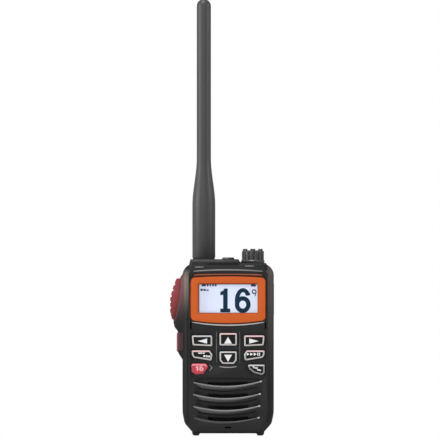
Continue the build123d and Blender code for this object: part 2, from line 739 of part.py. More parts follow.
# ------------------------------------------------------------------- chassis
with BuildPart() as rear_chassis:
    with BuildSketch(at_depth(REAR_DEPTH)):
        add(case_outline())
    extrude(amount=REAR_DEPTH)
    fillet(rear_chassis.faces().sort_by(Axis.Y)[-1].edges(), EDGE_RADIUS)
    add(deck_block(REAR_DEPTH - DECK_SETBACK, 0))
    with BuildSketch(at_depth(REAR_DEPTH + 1)):
        add(box_between((-2 * BODY_HALF_WIDTH, -1), (2 * BODY_HALF_WIDTH, HEAD_FLOOR)))
    extrude(amount=REAR_DEPTH + 1 - CHASSIS_PLATE, mode=Mode.SUBTRACT)
    with BuildSketch(at_depth(REAR_DEPTH - WALL)):
        add(case_outline(WALL))
        add(box_between((-2 * BODY_HALF_WIDTH, -1), (2 * BODY_HALF_WIDTH, HEAD_FLOOR + WALL)), mode=Mode.SUBTRACT)
    extrude(amount=REAR_DEPTH - WALL, mode=Mode.SUBTRACT)
    for x, z in CASE_SCREWS:
        with BuildSketch(at_depth(CHASSIS_PLATE)):
            with Locations((x, z)):
                Circle(CASE_SCREW_RADIUS + SHAFT_GAP)
        extrude(amount=CHASSIS_PLATE, mode=Mode.SUBTRACT)
        with BuildSketch(at_depth(CHASSIS_PLATE)):
            with Locations((x, z)):
                Circle(CASE_SCREW_HEAD + FIT)
        extrude(amount=CHASSIS_PLATE / 2, mode=Mode.SUBTRACT)
    for x in (-RAIL_X, RAIL_X):
        for z in RAIL_BOTTOMS:
            with BuildSketch(at_depth(RAIL_UNDERSIDE)):
                add(box_between((x - RAIL_STEM / 2, z), (x + RAIL_STEM / 2, z + RAIL_LENGTH)))
            extrude(amount=RAIL_UNDERSIDE - CHASSIS_PLATE)
            with BuildSketch(at_depth(RAIL_UNDERSIDE + RAIL_HEAD_THICKNESS)):
                add(box_between((x - RAIL_HEAD / 2, z), (x + RAIL_HEAD / 2, z + RAIL_LENGTH)))
            extrude(amount=RAIL_HEAD_THICKNESS)
    with BuildSketch(at_height(SHOULDER_TOP - WALL - SLIDE_GAP)):
        with Locations((ANTENNA_X, HEAD_AXIS_Y)):
            Circle(SOCKET_RADIUS + SHAFT_GAP)
        with Locations((KNOB_X, HEAD_AXIS_Y)):
            Circle(BUSH_RADIUS + SHAFT_GAP)
    extrude(amount=WALL + DECK_TOP - SHOULDER_TOP + 2 * SLIDE_GAP, mode=Mode.SUBTRACT)
    with BuildSketch(at_height(DECK_TOP - SOCKET_FLANGE)):
        with Locations((ANTENNA_X, HEAD_AXIS_Y)):
            Circle(SOCKET_FLANGE_RADIUS)
    extrude(amount=SOCKET_FLANGE, mode=Mode.SUBTRACT)
    with BuildSketch(at_width(-LEAF_HALF_WIDTH - SLIDE_GAP)):
        add(box_between((LEAF_Y - SLIDE_GAP, HEAD_FLOOR - 1), (LEAF_Y + LEAF_THICKNESS + SLIDE_GAP, HEAD_FLOOR + WALL)))
        add(
            box_between(
                (LEAF_Y - SLIDE_GAP, HEAD_FLOOR + LEAF_LEDGE),
                (LEAF_Y + LEAF_HOOK + SLIDE_GAP, HEAD_FLOOR + WALL),
            )
        )
    extrude(amount=2 * (LEAF_HALF_WIDTH + SLIDE_GAP), mode=Mode.SUBTRACT)
    for x in (-CLIP_SCREW_X, CLIP_SCREW_X):
        with BuildSketch(at_depth(REAR_DEPTH)):
            with Locations((x, CLIP_SCREW_Z)):
                Circle(CLIP_SCREW_RADIUS)
        extrude(amount=WALL, mode=Mode.SUBTRACT)
    for x in (-CONTACT_PITCH, 0, CONTACT_PITCH):
        with BuildSketch(at_depth(CHASSIS_PLATE)):
            with Locations((x, CONTACT_Z)):
                Circle(CONTACT_RADIUS)
        extrude(amount=CHASSIS_PLATE, mode=Mode.SUBTRACT)
rear_chassis.part.label = "rear_chassis"
export_step(rear_chassis.part, "parts/rear_chassis.step")

# ------------------------------------------------------------------- display
with BuildPart() as display_bezel:
    with BuildSketch(at_depth(BEZEL_BACK)):
        add(bezel_profile())
    extrude(amount=BEZEL_BACK - BEZEL_FRONT)
    fillet(display_bezel.faces().sort_by(Axis.Y)[0].edges(), BEZEL_EDGE)
    with BuildSketch(at_depth(BEZEL_BACK)):
        add(window_profile())
    extrude(amount=BEZEL_BACK - BEZEL_FRONT, mode=Mode.SUBTRACT)
    chamfer(display_bezel.faces().sort_by(Axis.Y)[0].inner_wires()[0].edges(), BEZEL_EDGE)
display_bezel.part.label = "display_bezel"
export_step(display_bezel.part, "parts/display_bezel.step")

with BuildPart() as display_window:
    with BuildSketch(at_depth(LENS_BACK)):
        add(window_profile(WINDOW_LEDGE))
    extrude(amount=WINDOW_THICKNESS)
display_window.part.label = "display_window"
export_step(display_window.part, "parts/display_window.step")

with BuildPart() as lcd_panel:
    with BuildSketch(at_depth(LCD_PLACE + LCD_THICKNESS)):
        with Locations((0, LCD_Z)):
            Rectangle(2 * LCD_HALF_WIDTH, 2 * LCD_HALF_HEIGHT)
    extrude(amount=LCD_THICKNESS)
lcd_panel.part.label = "lcd_panel"
export_step(lcd_panel.part, "parts/lcd_panel.step")

with BuildPart() as backlight_plate:
    with BuildSketch(at_depth(LCD_PLACE + LCD_THICKNESS + BACKLIGHT_THICKNESS)):
        with Locations((0, LCD_Z)):
            Rectangle(2 * LCD_HALF_WIDTH, 2 * LCD_HALF_HEIGHT)
    extrude(amount=BACKLIGHT_THICKNESS)
backlight_plate.part.label = "backlight_plate"
export_step(backlight_plate.part, "parts/backlight_plate.step")

with BuildPart() as lcd_frame:
    with BuildSketch(at_depth(BOARD_FRONT)):
        with Locations((0, LCD_Z)):
            Rectangle(2 * LCD_HALF_WIDTH, 2 * LCD_HALF_HEIGHT)
            Rectangle(2 * (LCD_HALF_WIDTH - WALL), 2 * (LCD_HALF_HEIGHT - WALL), mode=Mode.SUBTRACT)
    extrude(amount=BOARD_FRONT - LCD_PLACE - LCD_THICKNESS - BACKLIGHT_THICKNESS)
lcd_frame.part.label = "lcd_frame"
export_step(lcd_frame.part, "parts/lcd_frame.step")

# -------------------------------------------------------------------- keypad
for key_name, points in KEYS.items():
    with BuildPart() as key:
        with BuildSketch(at_depth(FLANGE_FRONT)):
            add(key_profile(points))
        extrude(amount=FLANGE_FRONT - PANEL_Y + KEY_PROUD)
        fillet(key.faces().sort_by(Axis.Y)[0].edges(), KEY_EDGE)
        with BuildSketch(at_depth(FLANGE_FRONT + KEY_FLANGE)):
            add(key_profile(points, KEY_FLANGE_WIDTH))
        extrude(amount=KEY_FLANGE)
        with BuildSketch(at_depth(STEM_END)):
            with Locations(key_centre(points)):
                Circle(KEY_STEM_RADIUS)
        extrude(amount=STEM_END - FLANGE_FRONT)
    key.part.label = key_name
    export_step(key.part, f"parts/{key_name}.step")

with BuildPart() as keypad_mat:
    with BuildSketch(at_depth(MAT_FRONT + MAT_THICKNESS)):
        add(box_between((-MAT_HALF_WIDTH, MAT_BOTTOM), (MAT_HALF_WIDTH, MAT_TOP)))
        with Locations(*[key_centre(points) for points in KEYS.values()]):
            Circle(KEY_STEM_RADIUS + SLIDE_GAP, mode=Mode.SUBTRACT)
        with Locations(*CASE_SCREWS):
            Circle(CASE_BOSS_RADIUS + SLIDE_GAP, mode=Mode.SUBTRACT)
    extrude(amount=MAT_THICKNESS)
keypad_mat.part.label = "keypad_mat"
export_step(keypad_mat.part, "parts/keypad_mat.step")

with BuildPart() as key_domes:
    with BuildSketch(at_depth(BOARD_FRONT)):
        with Locations(*[key_centre(points) for points in KEYS.values()]):
            Circle(DOME_RADIUS)
    extrude(amount=DOME_HEIGHT)
key_domes.part.label = "key_domes"
export_step(key_domes.part, "parts/key_domes.step")

# --------------------------------------------------------------- electronics
with BuildPart() as main_board:
    with BuildSketch(at_depth(BOARD_BACK)):
        with Locations((0, (BOARD_TOP + BOARD_BOTTOM) / 2)):
            RectangleRounded(2 * BOARD_HALF_WIDTH, BOARD_TOP - BOARD_BOTTOM, CASE_BOSS_RADIUS)
        with Locations(*CASE_SCREWS):
            Circle(CASE_BOSS_RADIUS + SLIDE_GAP, mode=Mode.SUBTRACT)
        with Locations((0, SPEAKER_Z)):
            Circle(MAGNET_RADIUS + SLIDE_GAP, mode=Mode.SUBTRACT)
    extrude(amount=BOARD_THICKNESS)
main_board.part.label = "main_board"
export_step(main_board.part, "parts/main_board.step")

with BuildPart() as shield_can:
    with BuildSketch(at_depth(BOARD_BACK + CAN_HEIGHT)):
        add(box_between((-CAN_HALF_WIDTH, CAN_BOTTOM), (CAN_HALF_WIDTH, CAN_TOP)))
    extrude(amount=CAN_HEIGHT)
    offset(amount=-CAN_SHEET, openings=shield_can.faces().sort_by(Axis.Y)[0], kind=Kind.INTERSECTION)
shield_can.part.label = "shield_can"
export_step(shield_can.part, "parts/shield_can.step")

with BuildPart() as side_switches:
    for z in ((PTT_TOP + PTT_BOTTOM) / 2, (SIDE_KEY_TOP + SIDE_KEY_BOTTOM) / 2):
        with BuildSketch(at_depth(BOARD_FRONT)):
            add(box_between((SWITCH_X, z - SWITCH_SIZE / 2), (SWITCH_X + SWITCH_DEPTH, z + SWITCH_SIZE / 2)))
        extrude(amount=SWITCH_SIZE)
side_switches.part.label = "side_switches"
export_step(side_switches.part, "parts/side_switches.step")

with BuildPart() as accessory_jacks:
    with BuildSketch(at_width(JACK_BACK)):
        add(box_between((JACK_Y - JACK_HALF, JACK_Z - JACK_SPREAD), (JACK_Y + JACK_HALF, JACK_Z + JACK_SPREAD)))
        with Locations((JACK_Y, JACK_Z - JACK_SPREAD / 2)):
            Circle(JACK_BORE, mode=Mode.SUBTRACT)
        with Locations((JACK_Y, JACK_Z + JACK_SPREAD / 2)):
            Circle(MIC_JACK_BORE, mode=Mode.SUBTRACT)
    extrude(amount=BODY_HALF_WIDTH - WALL - JACK_BACK)
accessory_jacks.part.label = "accessory_jacks"
export_step(accessory_jacks.part, "parts/accessory_jacks.step")

with BuildPart() as status_lens:
    with BuildSketch(at_height(CAVITY_TOP - LENS_FOOT)):
        with Locations((0, LENS_Y)):
            Rectangle(2 * (LENS_HALF_WIDTH + LENS_FOOT), 2 * (LENS_HALF_DEPTH + LENS_FOOT))
    extrude(amount=LENS_FOOT)
    with BuildSketch(at_height(CAVITY_TOP)):
        with Locations((0, LENS_Y)):
            Rectangle(2 * LENS_HALF_WIDTH, 2 * LENS_HALF_DEPTH)
    extrude(amount=LENS_TOP - CAVITY_TOP)
    fillet(status_lens.faces().sort_by(Axis.Z)[-1].edges(), LENS_ROUND)
status_lens.part.label = "status_lens"
export_step(status_lens.part, "parts/status_lens.step")

# ------------------------------------------------------- speaker, microphone
with BuildPart() as speaker_membrane:
    with BuildSketch(at_depth(INNER_Y + MEMBRANE_THICKNESS)):
        with Locations((0, SPEAKER_Z)):
            Circle(SPEAKER_RADIUS)
    extrude(amount=MEMBRANE_THICKNESS)
speaker_membrane.part.label = "speaker_membrane"
export_step(speaker_membrane.part, "parts/speaker_membrane.step")

speaker_axis = Axis(BODY + Vector(0, 0, SPEAKER_Z), (0, -1, 0))
with BuildPart() as speaker_basket:
    with BuildSketch(at_depth(SPEAKER_BACK)):
        with Locations((0, SPEAKER_Z)):
            Circle(SPEAKER_RADIUS)
    extrude(amount=SPEAKER_BACK - SPEAKER_FRONT)
    with BuildSketch(at_depth(SPEAKER_BACK - BASKET_WALL)):
        with Locations((0, SPEAKER_Z)):
            Circle(SPEAKER_RADIUS - BASKET_WALL)
    extrude(amount=SPEAKER_BACK - SPEAKER_FRONT, mode=Mode.SUBTRACT)
    with BuildSketch(at_depth(SPEAKER_BACK)):
        with Locations((0, SPEAKER_Z)):
            Circle(MAGNET_RADIUS)
    extrude(amount=BASKET_WALL, mode=Mode.SUBTRACT)
speaker_basket.part.label = "speaker_basket"
export_step(speaker_basket.part, "parts/speaker_basket.step")

with BuildPart() as speaker_magnet:
    with BuildSketch(at_depth(SPEAKER_BACK + MAGNET_STANDOUT)):
        with Locations((0, SPEAKER_Z)):
            Circle(MAGNET_RADIUS)
    extrude(amount=MAGNET_THICKNESS)
speaker_magnet.part.label = "speaker_magnet"
export_step(speaker_magnet.part, "parts/speaker_magnet.step")

with BuildPart() as speaker_cone:
    with BuildSketch(at_width(0)):
        with Locations((SPEAKER_FRONT, SPEAKER_Z)):
            Polygon(
                (0, CONE_HUB),
                (CONE_DEPTH, CONE_HUB),
                (CONE_SHEET, CONE_RADIUS),
                (0, CONE_RADIUS),
                (CONE_DEPTH - CONE_SHEET, CONE_HUB + CONE_SHEET),
                align=None,
            )
    revolve(axis=speaker_axis)
speaker_cone.part.label = "speaker_cone"
export_step(speaker_cone.part, "parts/speaker_cone.step")

with BuildPart() as microphone:
    with BuildSketch(at_depth(INNER_Y + MIC_LENGTH)):
        with Locations((0, MIC_BODY_Z)):
            Circle(MIC_RADIUS)
    extrude(amount=MIC_LENGTH - BOOT_WALL)
microphone.part.label = "microphone"
export_step(microphone.part, "parts/microphone.step")

with BuildPart() as microphone_boot:
    with BuildSketch(at_depth(INNER_Y + MIC_LENGTH)):
        with Locations((0, MIC_BODY_Z)):
            Circle(MIC_RADIUS + BOOT_WALL)
    extrude(amount=MIC_LENGTH)
    with BuildSketch(at_depth(INNER_Y + MIC_LENGTH)):
        with Locations((0, MIC_BODY_Z)):
            Circle(MIC_RADIUS)
    extrude(amount=MIC_LENGTH - BOOT_WALL, mode=Mode.SUBTRACT)
    with BuildSketch(at_depth(INNER_Y + MIC_LENGTH)):
        with Locations((0, MIC_BODY_Z)):
            Circle(MIC_SLOT_HEIGHT)
    extrude(amount=MIC_LENGTH, mode=Mode.SUBTRACT)
microphone_boot.part.label = "microphone_boot"
export_step(microphone_boot.part, "parts/microphone_boot.step")

# ----------------------------------------------------------------- side keys
with BuildPart() as ptt_button:
    with BuildSketch(at_depth(PTT_BACK)):
        add(rounded(ptt_profile(), [0, 0.5, 3.0, 4.0, 4.0, 1.0, 0]))
    extrude(amount=PTT_BACK - PTT_FRONT)
    for rib in range(PTT_RIBS):
        rib_z = PTT_BOTTOM + PTT_RIB_PITCH * (rib + 1)
        with BuildSketch(at_depth(PTT_BACK)):
            add(rounded(rib_notch(rib_z), 0.15))
        extrude(amount=PTT_BACK - PTT_FRONT, mode=Mode.SUBTRACT)
    with BuildSketch(at_width(PTT_INNER)):
        add(
            box_between(
                (PTT_FRONT - SIDE_FLANGE, PTT_BOTTOM - SIDE_FLANGE),
                (PTT_BACK + SIDE_FLANGE, PTT_TOP + SIDE_FLANGE),
            )
        )
    extrude(amount=SIDE_FLANGE)
ptt_button.part.label = "ptt_button"
export_step(ptt_button.part, "parts/ptt_button.step")

with BuildPart() as side_key:
    with BuildSketch(at_width(PTT_INNER)):
        add(box_between((SIDE_KEY_FRONT, SIDE_KEY_BOTTOM), (SIDE_KEY_BACK, SIDE_KEY_TOP)))
    extrude(amount=-(SIDE_KEY_REACH + PTT_INNER))
    fillet(side_key.faces().sort_by(Axis.X)[0].edges(), SIDE_KEY_ROUND)
    with BuildSketch(at_width(PTT_INNER)):
        add(
            box_between(
                (SIDE_KEY_FRONT - SIDE_FLANGE, SIDE_KEY_BOTTOM - SIDE_FLANGE),
                (SIDE_KEY_BACK + SIDE_FLANGE, SIDE_KEY_TOP + SIDE_FLANGE),
            )
        )
    extrude(amount=SIDE_FLANGE)
side_key.part.label = "side_key"
export_step(side_key.part, "parts/side_key.step")

with BuildPart() as jack_cover:
    with BuildSketch(at_depth(JACK_Y + JACK_COVER_HALF_DEPTH)):
        with Locations((COVER_AXIS_X, COVER_AXIS_Z)):
            Circle(COVER_KNUCKLE)
        add(
            box_between(
                (COVER_AXIS_X - COVER_KNUCKLE, JACK_Z - JACK_COVER_HALF_HEIGHT),
                (COVER_AXIS_X + COVER_KNUCKLE, COVER_AXIS_Z),
            )
        )
    extrude(amount=2 * JACK_COVER_HALF_DEPTH)
    fillet(jack_cover.faces().sort_by(Axis.Z)[0].edges().filter_by(Axis.X), COVER_KNUCKLE)
jack_cover.part.label = "jack_cover"
export_step(jack_cover.part, "parts/jack_cover.step")

# ------------------------------------------------------------------- antenna
antenna_axis = upright(ANTENNA_X, HEAD_AXIS_Y)
with BuildPart() as antenna_sheath:
    with BuildSketch(at_depth(HEAD_AXIS_Y)) as sheath_half:
        with BuildLine():
            Polyline(
                (ANTENNA_X, ANTENNA_BOTTOM),
                (ANTENNA_X + ANTENNA_BASE_RADIUS, ANTENNA_BOTTOM),
                (ANTENNA_X + ANTENNA_BASE_RADIUS, ANTENNA_BASE_TOP),
            )
            Spline(
                (ANTENNA_X + ANTENNA_BASE_RADIUS, ANTENNA_BASE_TOP),
                (ANTENNA_X + ANTENNA_TIP_RADIUS, ANTENNA_FLARE_TOP),
                tangents=((0, 1), (0, 1)),
                tangent_scalars=(1.2, 1.2),
            )
            Line(
                (ANTENNA_X + ANTENNA_TIP_RADIUS, ANTENNA_FLARE_TOP),
                (ANTENNA_X + ANTENNA_TIP_RADIUS, ANTENNA_TOP - ANTENNA_TIP_RADIUS),
            )
            RadiusArc(
                (ANTENNA_X + ANTENNA_TIP_RADIUS, ANTENNA_TOP - ANTENNA_TIP_RADIUS),
                (ANTENNA_X, ANTENNA_TOP),
                -ANTENNA_TIP_RADIUS,
            )
            Line((ANTENNA_X, ANTENNA_TOP), (ANTENNA_X, ANTENNA_BOTTOM))
        make_face()
    revolve(axis=antenna_axis)
    with BuildSketch(at_height(ANTENNA_BOTTOM)):
        with Locations((ANTENNA_X, HEAD_AXIS_Y)):
            Circle(CONNECTOR_RADIUS)
    extrude(amount=CONNECTOR_GRIP, mode=Mode.SUBTRACT)
    with BuildSketch(at_height(ANTENNA_BOTTOM)):
        with Locations((ANTENNA_X, HEAD_AXIS_Y)):
            Circle(ELEMENT_RADIUS)
    extrude(amount=ELEMENT_TOP - ANTENNA_BOTTOM, mode=Mode.SUBTRACT)
antenna_sheath.part.label = "antenna_sheath"
export_step(antenna_sheath.part, "parts/antenna_sheath.step")

with BuildPart() as antenna_element:
    with BuildSketch(at_height(ANTENNA_BOTTOM + CONNECTOR_GRIP)):
        with Locations((ANTENNA_X, HEAD_AXIS_Y)):
            Circle(ELEMENT_RADIUS)
    extrude(amount=ELEMENT_TOP - ANTENNA_BOTTOM - CONNECTOR_GRIP)
antenna_element.part.label = "antenna_element"
export_step(antenna_element.part, "parts/antenna_element.step")

with BuildPart() as antenna_connector:
    with BuildSketch(at_height(ANTENNA_BOTTOM - CONNECTOR_LENGTH)):
        with Locations((ANTENNA_X, HEAD_AXIS_Y)):
            Circle(CONNECTOR_RADIUS)
    extrude(amount=CONNECTOR_LENGTH + CONNECTOR_GRIP)
    chamfer(antenna_connector.faces().sort_by(Axis.Z)[0].edges(), CONNECTOR_RADIUS / 6)
antenna_connector.part.label = "antenna_connector"
export_step(antenna_connector.part, "parts/antenna_connector.step")

with BuildPart() as antenna_seal:
    with BuildSketch(at_height(DECK_TOP)):
        with Locations((ANTENNA_X, HEAD_AXIS_Y)):
            Circle(ANTENNA_BASE_RADIUS - GASKET_INSET)
            Circle(CONNECTOR_RADIUS + SLIDE_GAP, mode=Mode.SUBTRACT)
    extrude(amount=ANTENNA_SEAL)
antenna_seal.part.label = "antenna_seal"
export_step(antenna_seal.part, "parts/antenna_seal.step")

with BuildPart() as antenna_socket:
    with BuildSketch(at_height(SOCKET_FLOOR)):
        with Locations((ANTENNA_X, HEAD_AXIS_Y)):
            Circle(SOCKET_RADIUS)
    extrude(amount=DECK_TOP - SOCKET_FLOOR)
    with BuildSketch(at_height(DECK_TOP - SOCKET_FLANGE)):
        with Locations((ANTENNA_X, HEAD_AXIS_Y)):
            Circle(SOCKET_FLANGE_RADIUS)
    extrude(amount=SOCKET_FLANGE)
    with BuildSketch(at_height(SOCKET_FLOOR + WALL)):
        with Locations((ANTENNA_X, HEAD_AXIS_Y)):
            Circle(CONNECTOR_RADIUS + SHAFT_GAP)
    extrude(amount=DECK_TOP - SOCKET_FLOOR, mode=Mode.SUBTRACT)
antenna_socket.part.label = "antenna_socket"
export_step(antenna_socket.part, "parts/antenna_socket.step")

with BuildPart() as antenna_socket_nut:
    with BuildSketch(at_height(CAVITY_TOP - NUT_THICKNESS)):
        with Locations((ANTENNA_X, HEAD_AXIS_Y)):
            RegularPolygon(NUT_RADIUS, 6, rotation=30)
            Circle(SOCKET_RADIUS, mode=Mode.SUBTRACT)
    extrude(amount=NUT_THICKNESS)
antenna_socket_nut.part.label = "antenna_socket_nut"
export_step(antenna_socket_nut.part, "parts/antenna_socket_nut.step")

# --------------------------------------------------------------- volume knob
with BuildPart() as volume_control:
    with BuildSketch(at_height(CAVITY_TOP - CONTROL_NUT - CONTROL_HEIGHT)):
        with Locations((KNOB_X, HEAD_AXIS_Y)):
            Rectangle(2 * CONTROL_HALF, 2 * CONTROL_HALF)
    extrude(amount=CONTROL_HEIGHT)
    with BuildSketch(at_height(CAVITY_TOP - CONTROL_NUT)):
        with Locations((KNOB_X, HEAD_AXIS_Y)):
            Circle(BUSH_RADIUS)
    extrude(amount=KNOB_DECK - CAVITY_TOP + CONTROL_NUT)
    with BuildSketch(at_height(SHAFT_BOTTOM - SHAFT_GAP)):
        with Locations((KNOB_X, HEAD_AXIS_Y)):
            Circle(KNOB_SHAFT_RADIUS + SHAFT_GAP)
    extrude(amount=CONTROL_HEIGHT + KNOB_DECK, mode=Mode.SUBTRACT)
volume_control.part.label = "volume_control"
export_step(volume_control.part, "parts/volume_control.step")

with BuildPart() as volume_control_nut:
    with BuildSketch(at_height(CAVITY_TOP - CONTROL_NUT)):
        with Locations((KNOB_X, HEAD_AXIS_Y)):
            RegularPolygon(CONTROL_HALF, 6)
            Circle(BUSH_RADIUS, mode=Mode.SUBTRACT)
    extrude(amount=CONTROL_NUT)
volume_control_nut.part.label = "volume_control_nut"
export_step(volume_control_nut.part, "parts/volume_control_nut.step")

with BuildPart() as knob_shaft:
    with BuildSketch(at_height(SHAFT_BOTTOM)):
        with Locations((KNOB_X, HEAD_AXIS_Y)):
            Circle(KNOB_SHAFT_RADIUS)
    extrude(amount=SHAFT_TOP - SHAFT_BOTTOM)
knob_shaft.part.label = "knob_shaft"
export_step(knob_shaft.part, "parts/knob_shaft.step")

with BuildPart() as volume_knob:
    with BuildSketch(at_height(KNOB_BOTTOM)):
        with Locations((KNOB_X, HEAD_AXIS_Y)):
            Circle(KNOB_RADIUS)
    extrude(amount=KNOB_TOP - KNOB_BOTTOM)
    fillet(volume_knob.faces().sort_by(Axis.Z)[-1].edges(), KNOB_ROUND)
    with BuildSketch(at_height(KNOB_BOTTOM + KNOB_SKIRT)):
        with Locations((KNOB_X, HEAD_AXIS_Y)):
            with PolarLocations(KNOB_RADIUS + KNOB_FLUTE_RADIUS / 3, KNOB_FLUTES):
                Circle(KNOB_FLUTE_RADIUS)
    extrude(amount=KNOB_TOP - KNOB_BOTTOM, mode=Mode.SUBTRACT)
    with BuildSketch(at_height(KNOB_BOTTOM)):
        with Locations((KNOB_X, HEAD_AXIS_Y)):
            Circle(KNOB_SKIRT_RADIUS)
    extrude(amount=KNOB_SKIRT)
    with BuildSketch(at_height(KNOB_BOTTOM)):
        with Locations((KNOB_X, HEAD_AXIS_Y)):
            Circle(KNOB_SHAFT_RADIUS)
    extrude(amount=SHAFT_TOP - KNOB_BOTTOM, mode=Mode.SUBTRACT)
volume_knob.part.label = "volume_knob"
export_step(volume_knob.part, "parts/volume_knob.step")

# ------------------------------------------------------------------- battery
with BuildPart() as battery_case:
    with BuildSketch(at_depth(REAR_DEPTH)):
        add(case_outline())
        add(box_between((-2 * BODY_HALF_WIDTH, BATTERY_TOP), (2 * BODY_HALF_WIDTH, DECK_TOP)), mode=Mode.SUBTRACT)
    extrude(amount=REAR_DEPTH - COVER_FRONT)
    rear_edges = battery_case.faces().sort_by(Axis.Y)[-1].edges()
    fillet(rear_edges.filter_by(lambda edge: edge.center().Z < BATTERY_TOP - 1), BATTERY_ROUND)
    with BuildSketch(at_depth(REAR_DEPTH - BATTERY_WALL)):
        add(battery_cavity(BATTERY_WALL))
    extrude(amount=REAR_DEPTH, mode=Mode.SUBTRACT)
    with BuildSketch(at_depth(REAR_DEPTH - BATTERY_WALL)):
        with Locations((-CHARGE_PITCH / 2, CHARGE_Z), (CHARGE_PITCH / 2, CHARGE_Z)):
            Circle(CONTACT_RADIUS)
        add(
            box_between(
                (-LATCH_HALF_WIDTH - SLIDE_GAP, LATCH_Z - LATCH_TRAVEL - SLIDE_GAP),
                (LATCH_HALF_WIDTH + SLIDE_GAP, LATCH_Z + LATCH_HEIGHT + SLIDE_GAP),
            )
        )
    extrude(amount=-REAR_DEPTH, mode=Mode.SUBTRACT)
    with BuildSketch(at_height(BATTERY_TOP - 2 * BATTERY_WALL)):
        with Locations((0, LEAF_Y + LEAF_THICKNESS / 2)):
            Rectangle(2 * (LEAF_HALF_WIDTH + SLIDE_GAP), LEAF_THICKNESS + 2 * SLIDE_GAP)
    extrude(amount=3 * BATTERY_WALL, mode=Mode.SUBTRACT)
    for x in (-FOOT_X, FOOT_X):
        with BuildSketch(at_depth(FOOT_INSET + FOOT_LENGTH)):
            add(foot_profile(x))
        extrude(amount=FOOT_LENGTH - COVER_FRONT)
battery_case.part.label = "battery_case"
export_step(battery_case.part, "parts/battery_case.step")

with BuildPart() as battery_cover:
    with BuildSketch(at_depth(COVER_BACK)):
        add(battery_cavity(BATTERY_WALL + SHAFT_GAP))
        for x in (-RAIL_X, RAIL_X):
            for z in RAIL_BOTTOMS:
                throat = RAIL_STEM / 2 + SLIDE_GAP
                mouth = RAIL_HEAD / 2 + SLIDE_GAP
                top = z + RAIL_LENGTH
                add(box_between((x - throat, z - SLIDE_GAP), (x + throat, top + SLIDE_GAP)), mode=Mode.SUBTRACT)
                add(
                    box_between((x - mouth, top + SLIDE_GAP), (x + mouth, top + BATTERY_TRAVEL + SLIDE_GAP)),
                    mode=Mode.SUBTRACT,
                )
        with Locations((-CONTACT_PITCH, CONTACT_Z), (0, CONTACT_Z), (CONTACT_PITCH, CONTACT_Z)):
            Circle(CONTACT_RADIUS, mode=Mode.SUBTRACT)
    extrude(amount=COVER_THICKNESS)
battery_cover.part.label = "battery_cover"
export_step(battery_cover.part, "parts/battery_cover.step")

with BuildPart() as battery_cells:
    for side in (-1, 1):
        with BuildSketch(at_depth(CELL_BACK)):
            with Locations((side * (CELL_WIDTH + CELL_GAP) / 2, (CELL_TOP + CELL_BOTTOM) / 2)):
                RectangleRounded(CELL_WIDTH, CELL_TOP - CELL_BOTTOM, CELL_GAP)
        extrude(amount=CELL_BACK - CELL_FRONT)
battery_cells.part.label = "battery_cells"
export_step(battery_cells.part, "parts/battery_cells.step")

with BuildPart() as battery_contacts:
    with BuildSketch(at_depth(COVER_BACK)):
        with Locations((-CONTACT_PITCH, CONTACT_Z), (0, CONTACT_Z), (CONTACT_PITCH, CONTACT_Z)):
            Circle(CONTACT_RADIUS)
    extrude(amount=COVER_THICKNESS)
battery_contacts.part.label = "battery_contacts"
export_step(battery_contacts.part, "parts/battery_contacts.step")

with BuildPart() as charge_contacts:
    with BuildSketch(at_depth(REAR_DEPTH - CHARGE_RECESS)):
        with Locations((-CHARGE_PITCH / 2, CHARGE_Z), (CHARGE_PITCH / 2, CHARGE_Z)):
            Circle(CONTACT_RADIUS)
    extrude(amount=BATTERY_WALL - CHARGE_RECESS)
charge_contacts.part.label = "charge_contacts"
export_step(charge_contacts.part, "parts/charge_contacts.step")

with BuildPart() as supply_springs:
    with BuildSketch(at_depth(CHASSIS_PLATE + SHAFT_GAP)):
        with Locations((-CONTACT_PITCH, CONTACT_Z), (0, CONTACT_Z), (CONTACT_PITCH, CONTACT_Z)):
            Circle(CONTACT_RADIUS)
    extrude(amount=CHASSIS_PLATE + SHAFT_GAP)
supply_springs.part.label = "supply_springs"
export_step(supply_springs.part, "parts/supply_springs.step")

with BuildPart() as battery_latch:
    with BuildSketch(at_depth(REAR_DEPTH + LATCH_PROUD)):
        add(box_between((-LATCH_HALF_WIDTH, LATCH_Z), (LATCH_HALF_WIDTH, LATCH_Z + LATCH_HEIGHT)))
    extrude(amount=LATCH_PROUD + BATTERY_WALL)
    fillet(battery_latch.faces().sort_by(Axis.Y)[-1].edges(), LATCH_PROUD / 2)
    with BuildSketch(at_depth(LATCH_BACK)):
        add(
            box_between(
                (-LATCH_HALF_WIDTH - LATCH_EAR, LATCH_Z),
                (LATCH_HALF_WIDTH + LATCH_EAR, LATCH_Z + LATCH_HEIGHT),
            )
        )
    extrude(amount=LATCH_EAR / 2)
    with BuildSketch(at_depth(REAR_DEPTH - BATTERY_WALL)):
        add(box_between((-LATCH_HALF_WIDTH, LATCH_Z), (LATCH_HALF_WIDTH, LATCH_Z + LATCH_HEIGHT)))
    extrude(amount=REAR_DEPTH - BATTERY_WALL - LATCH_BACK)
battery_latch.part.label = "battery_latch"
export_step(battery_latch.part, "parts/battery_latch.step")

with BuildPart() as latch_leaf:
    with BuildSketch(at_width(-LEAF_HALF_WIDTH)):
        add(box_between((LEAF_Y, LEAF_BOTTOM), (LEAF_Y + LEAF_THICKNESS, HEAD_FLOOR + WALL - SLIDE_GAP)))
        add(
            box_between(
                (LEAF_Y, HEAD_FLOOR + LEAF_LEDGE + SHAFT_GAP),
                (LEAF_Y + LEAF_HOOK, HEAD_FLOOR + WALL - SLIDE_GAP),
            )
        )
    extrude(amount=2 * LEAF_HALF_WIDTH)
latch_leaf.part.label = "latch_leaf"
export_step(latch_leaf.part, "parts/latch_leaf.step")

